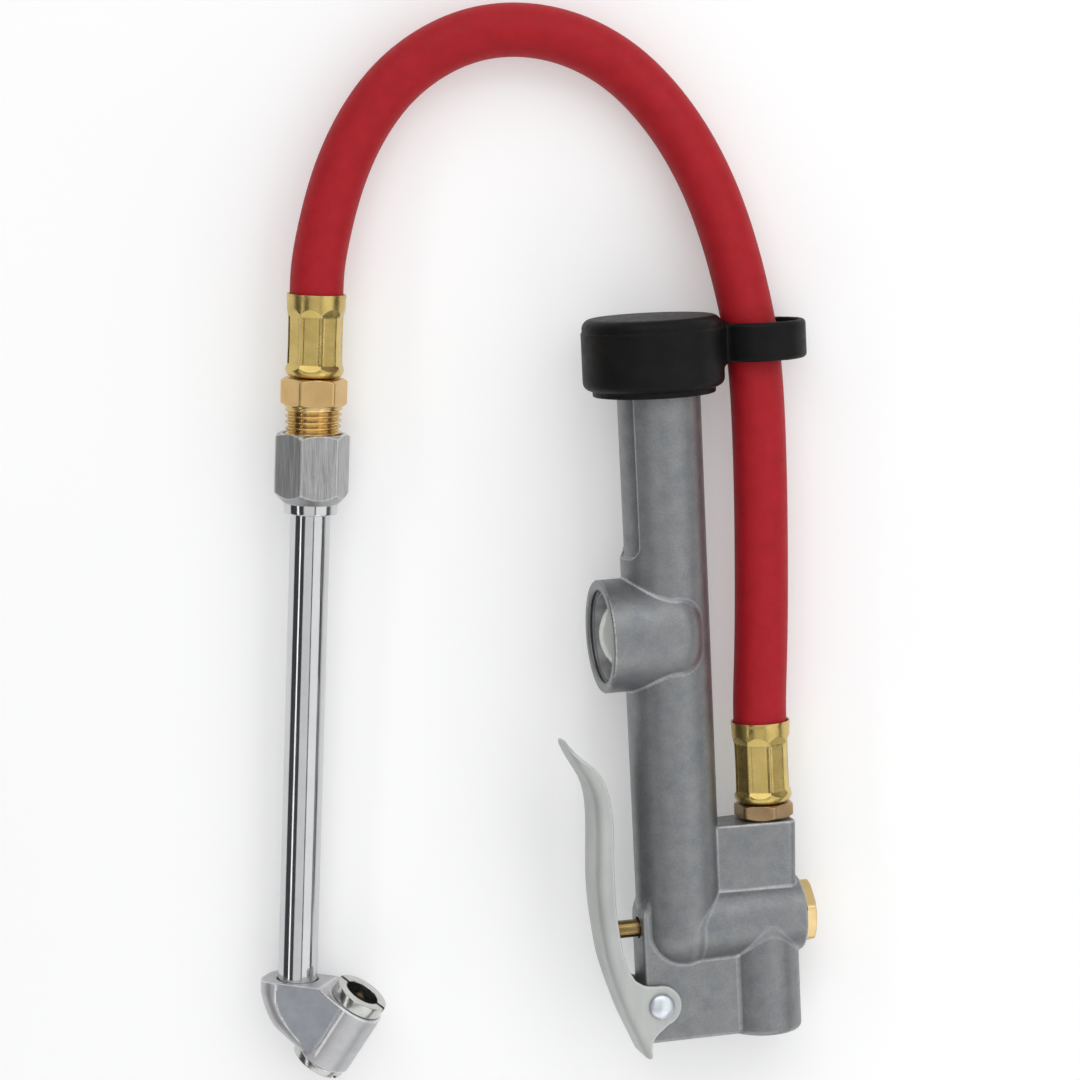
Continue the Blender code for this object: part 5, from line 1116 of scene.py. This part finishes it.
def cut_slot(item, place, high):
    """Cuts the screwdriver slot across a ring's face."""
    form = bmesh.new()
    bmesh.ops.create_cube(form, size=1.0)
    bmesh.ops.scale(form, vec=(20.0, 1.2, 2.0), verts=form.verts)
    bmesh.ops.translate(form, vec=(0.0, 0.0, high), verts=form.verts)
    bmesh.ops.transform(form, matrix=place, verts=form.verts)
    cutter = link_mesh("slot_form", form)
    change = item.modifiers.new("slot", "BOOLEAN")
    change.object = cutter
    change.solver = "EXACT"
    graph = bpy.context.evaluated_depsgraph_get()
    cut = bpy.data.meshes.new_from_object(item.evaluated_get(graph))
    item.modifiers.clear()
    item.data = cut
    cut.set_sharp_from_angle(angle=math.radians(38.0))
    shape = cutter.data
    bpy.data.objects.remove(cutter)
    bpy.data.meshes.remove(shape)


# ================================================================ springs
def coil_line(radius, low, high, curls):
    """The middle line of a compression spring, its end curls flatter than the rest."""
    share = np.linspace(0.0, 1.0, curls * 24 + 1)
    eased = share - 0.55 / math.pi * np.sin(2 * math.pi * share) / curls
    angle = 2 * math.pi * curls * share
    return np.stack([radius * np.cos(angle), radius * np.sin(angle), low + (high - low) * eased], 1)


def coil(name, line, wire, matrix, node, travel):
    """A spring of wire round its middle line, drawn at rest; travel is not used."""
    along = np.gradient(line, axis=0)
    along /= np.linalg.norm(along, axis=1, keepdims=True)
    outward = line * (1.0, 1.0, 0.0)
    outward /= np.linalg.norm(outward, axis=1, keepdims=True)
    up = np.cross(along, outward)
    angles = np.arange(10) * (2 * math.pi / 10)
    rings = [line[i] + wire * (np.outer(np.cos(angles), outward[i]) + np.outer(np.sin(angles), up[i]))
             for i in range(len(line))]
    points, faces = skin(rings)
    item = piece(name, points, faces, matrix, "bright_steel", [node])
    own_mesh(item)


def springs():
    """The gauge spring, the valve spring and the two halves of the spring between the plungers."""
    wire = 0.45
    line = coil_line(3.6, DRUM_LOW + DRUM_END + FIT + wire, TUBE_TOP - 8.0 - FIT - wire, 9)
    coil("gauge_coil", line, wire, BODY, "gauge_spring", GAUGE_TRAVEL)

    wire = 0.4
    left = (node_points("valve_spring") - np.array(BODY_O)) @ np.array(BODY_X)
    line = coil_line(3.2, left.min() / MM + wire, 24.8 - FIT - wire, 5)
    coil("valve_coil", line, wire, VALVE, "valve_spring", VALVE_TRAVEL)

    wire = 0.25
    end = 3.5 - FIT - wire
    line = coil_line(2.6, -end, end, 4)
    middle = len(line) // 2
    coil("front_half_coil", line[middle:], wire, FOOT, "foot_spring", FOOT_TRAVEL)
    coil("rear_half_coil", line[:middle + 1], wire, FOOT, "foot_spring", FOOT_TRAVEL)


# ================================================================ inner CAD pieces that stay
CARRIED_OVER = {
    "pin_seal": "black_rubber", "plug_seal": "black_rubber", "piston_cup": "black_rubber",
    "valve_poppet": "black_rubber", "valve_seat": "brass", "gauge_end_plug": "dark_brass",
    "lower_hose_end": "red_rubber", "upper_hose_end": "red_rubber",
}


def carried_over():
    """The inner pieces keep their CAD solids and get the same finishes."""
    for name, finish in CARRIED_OVER.items():
        materials = frame["nodes"][name].data.materials
        materials.clear()
        materials.append(FINISHES[finish])


# ================================================================ stage
PHOTO_WIDE, PHOTO_FOCAL = 1080.0, 3541.0
CAMERA_PLACE, CAMERA_LEAN = (0.000540, 0.140084, 0.8455), -7.1


def stage():
    """Pale floor, soft lights and the photograph's camera."""
    scene = bpy.context.scene
    camera = bpy.data.objects.new("camera", bpy.data.cameras.new("camera"))
    scene.collection.objects.link(camera)
    camera.data.sensor_width = 36.0
    camera.data.lens = 36.0 * PHOTO_FOCAL / PHOTO_WIDE
    camera.data.clip_start = 0.05
    camera.data.clip_end = 20.0
    camera.location = CAMERA_PLACE
    camera.rotation_euler = (math.radians(CAMERA_LEAN), 0.0, 0.0)
    scene.camera = camera

    form = bmesh.new()
    bmesh.ops.create_grid(form, x_segments=2, y_segments=2, size=3.0)
    floor = link_mesh("floor", form)
    floor.location = (0.0, 0.0, -0.0002)
    make = Finish("floor")
    floor.data.materials.append(make.done(
        make.cloud(3.0, 0.78, 0.82), 0.85,
        Specular_IOR_Level=0.1, Emission_Color=(1.0, 1.0, 1.0), Emission_Strength=0.24))

    scene.world = bpy.data.worlds.new("studio")
    scene.world.use_nodes = True
    sky = scene.world.node_tree.nodes["Background"]
    sky.inputs["Color"].default_value = (0.92, 0.95, 1.0, 1.0)
    sky.inputs["Strength"].default_value = 0.07

    panel("right_bank", (1.0, 0.0), 48.5, 0.9, (0.86, 1.6), 4.6)
    panel("top_bank", (1.0, 0.0), -5.0, 1.25, (1.06, 1.8), 4.8, 0.25)
    panel("left_slit", (1.0, 0.0), -53.5, 0.9, (0.11, 1.4), 0.9)
    panel("far_bank", (0.0, 1.0), 54.0, 1.1, (1.6, 0.9), 6.6)
    panel("near_bank", (0.0, 1.0), -56.0, 1.1, (1.6, 0.9), 4.8)
    scene.view_settings.view_transform = "Standard"
    scene.view_settings.look = "None"


def panel(name, side, angle, away, size, power, push=0.0):
    """A soft light panel that leans by an angle from overhead towards a side and faces the object."""
    data = bpy.data.lights.new(name, "AREA")
    data.shape = "RECTANGLE"
    data.size, data.size_y = size
    data.energy = power
    item = bpy.data.objects.new(name, data)
    lean = math.radians(angle)
    out = away * math.sin(lean)
    item.location = (side[0] * out, side[1] * out + 0.03 + push, away * math.cos(lean))
    item.rotation_euler = (-side[1] * lean, side[0] * lean, 0.0)
    bpy.context.scene.collection.objects.link(item)


# ================================================================ the whole
stage()
carried_over()
hose()
hose_hardware()
body_casting()
rubber_boot()
window()
pressed_lever()
rivet()
pin()
hex_plug()
coupling()
pipe()
chuck_head()
foot_hardware()
springs()

bpy.context.view_layer.update()
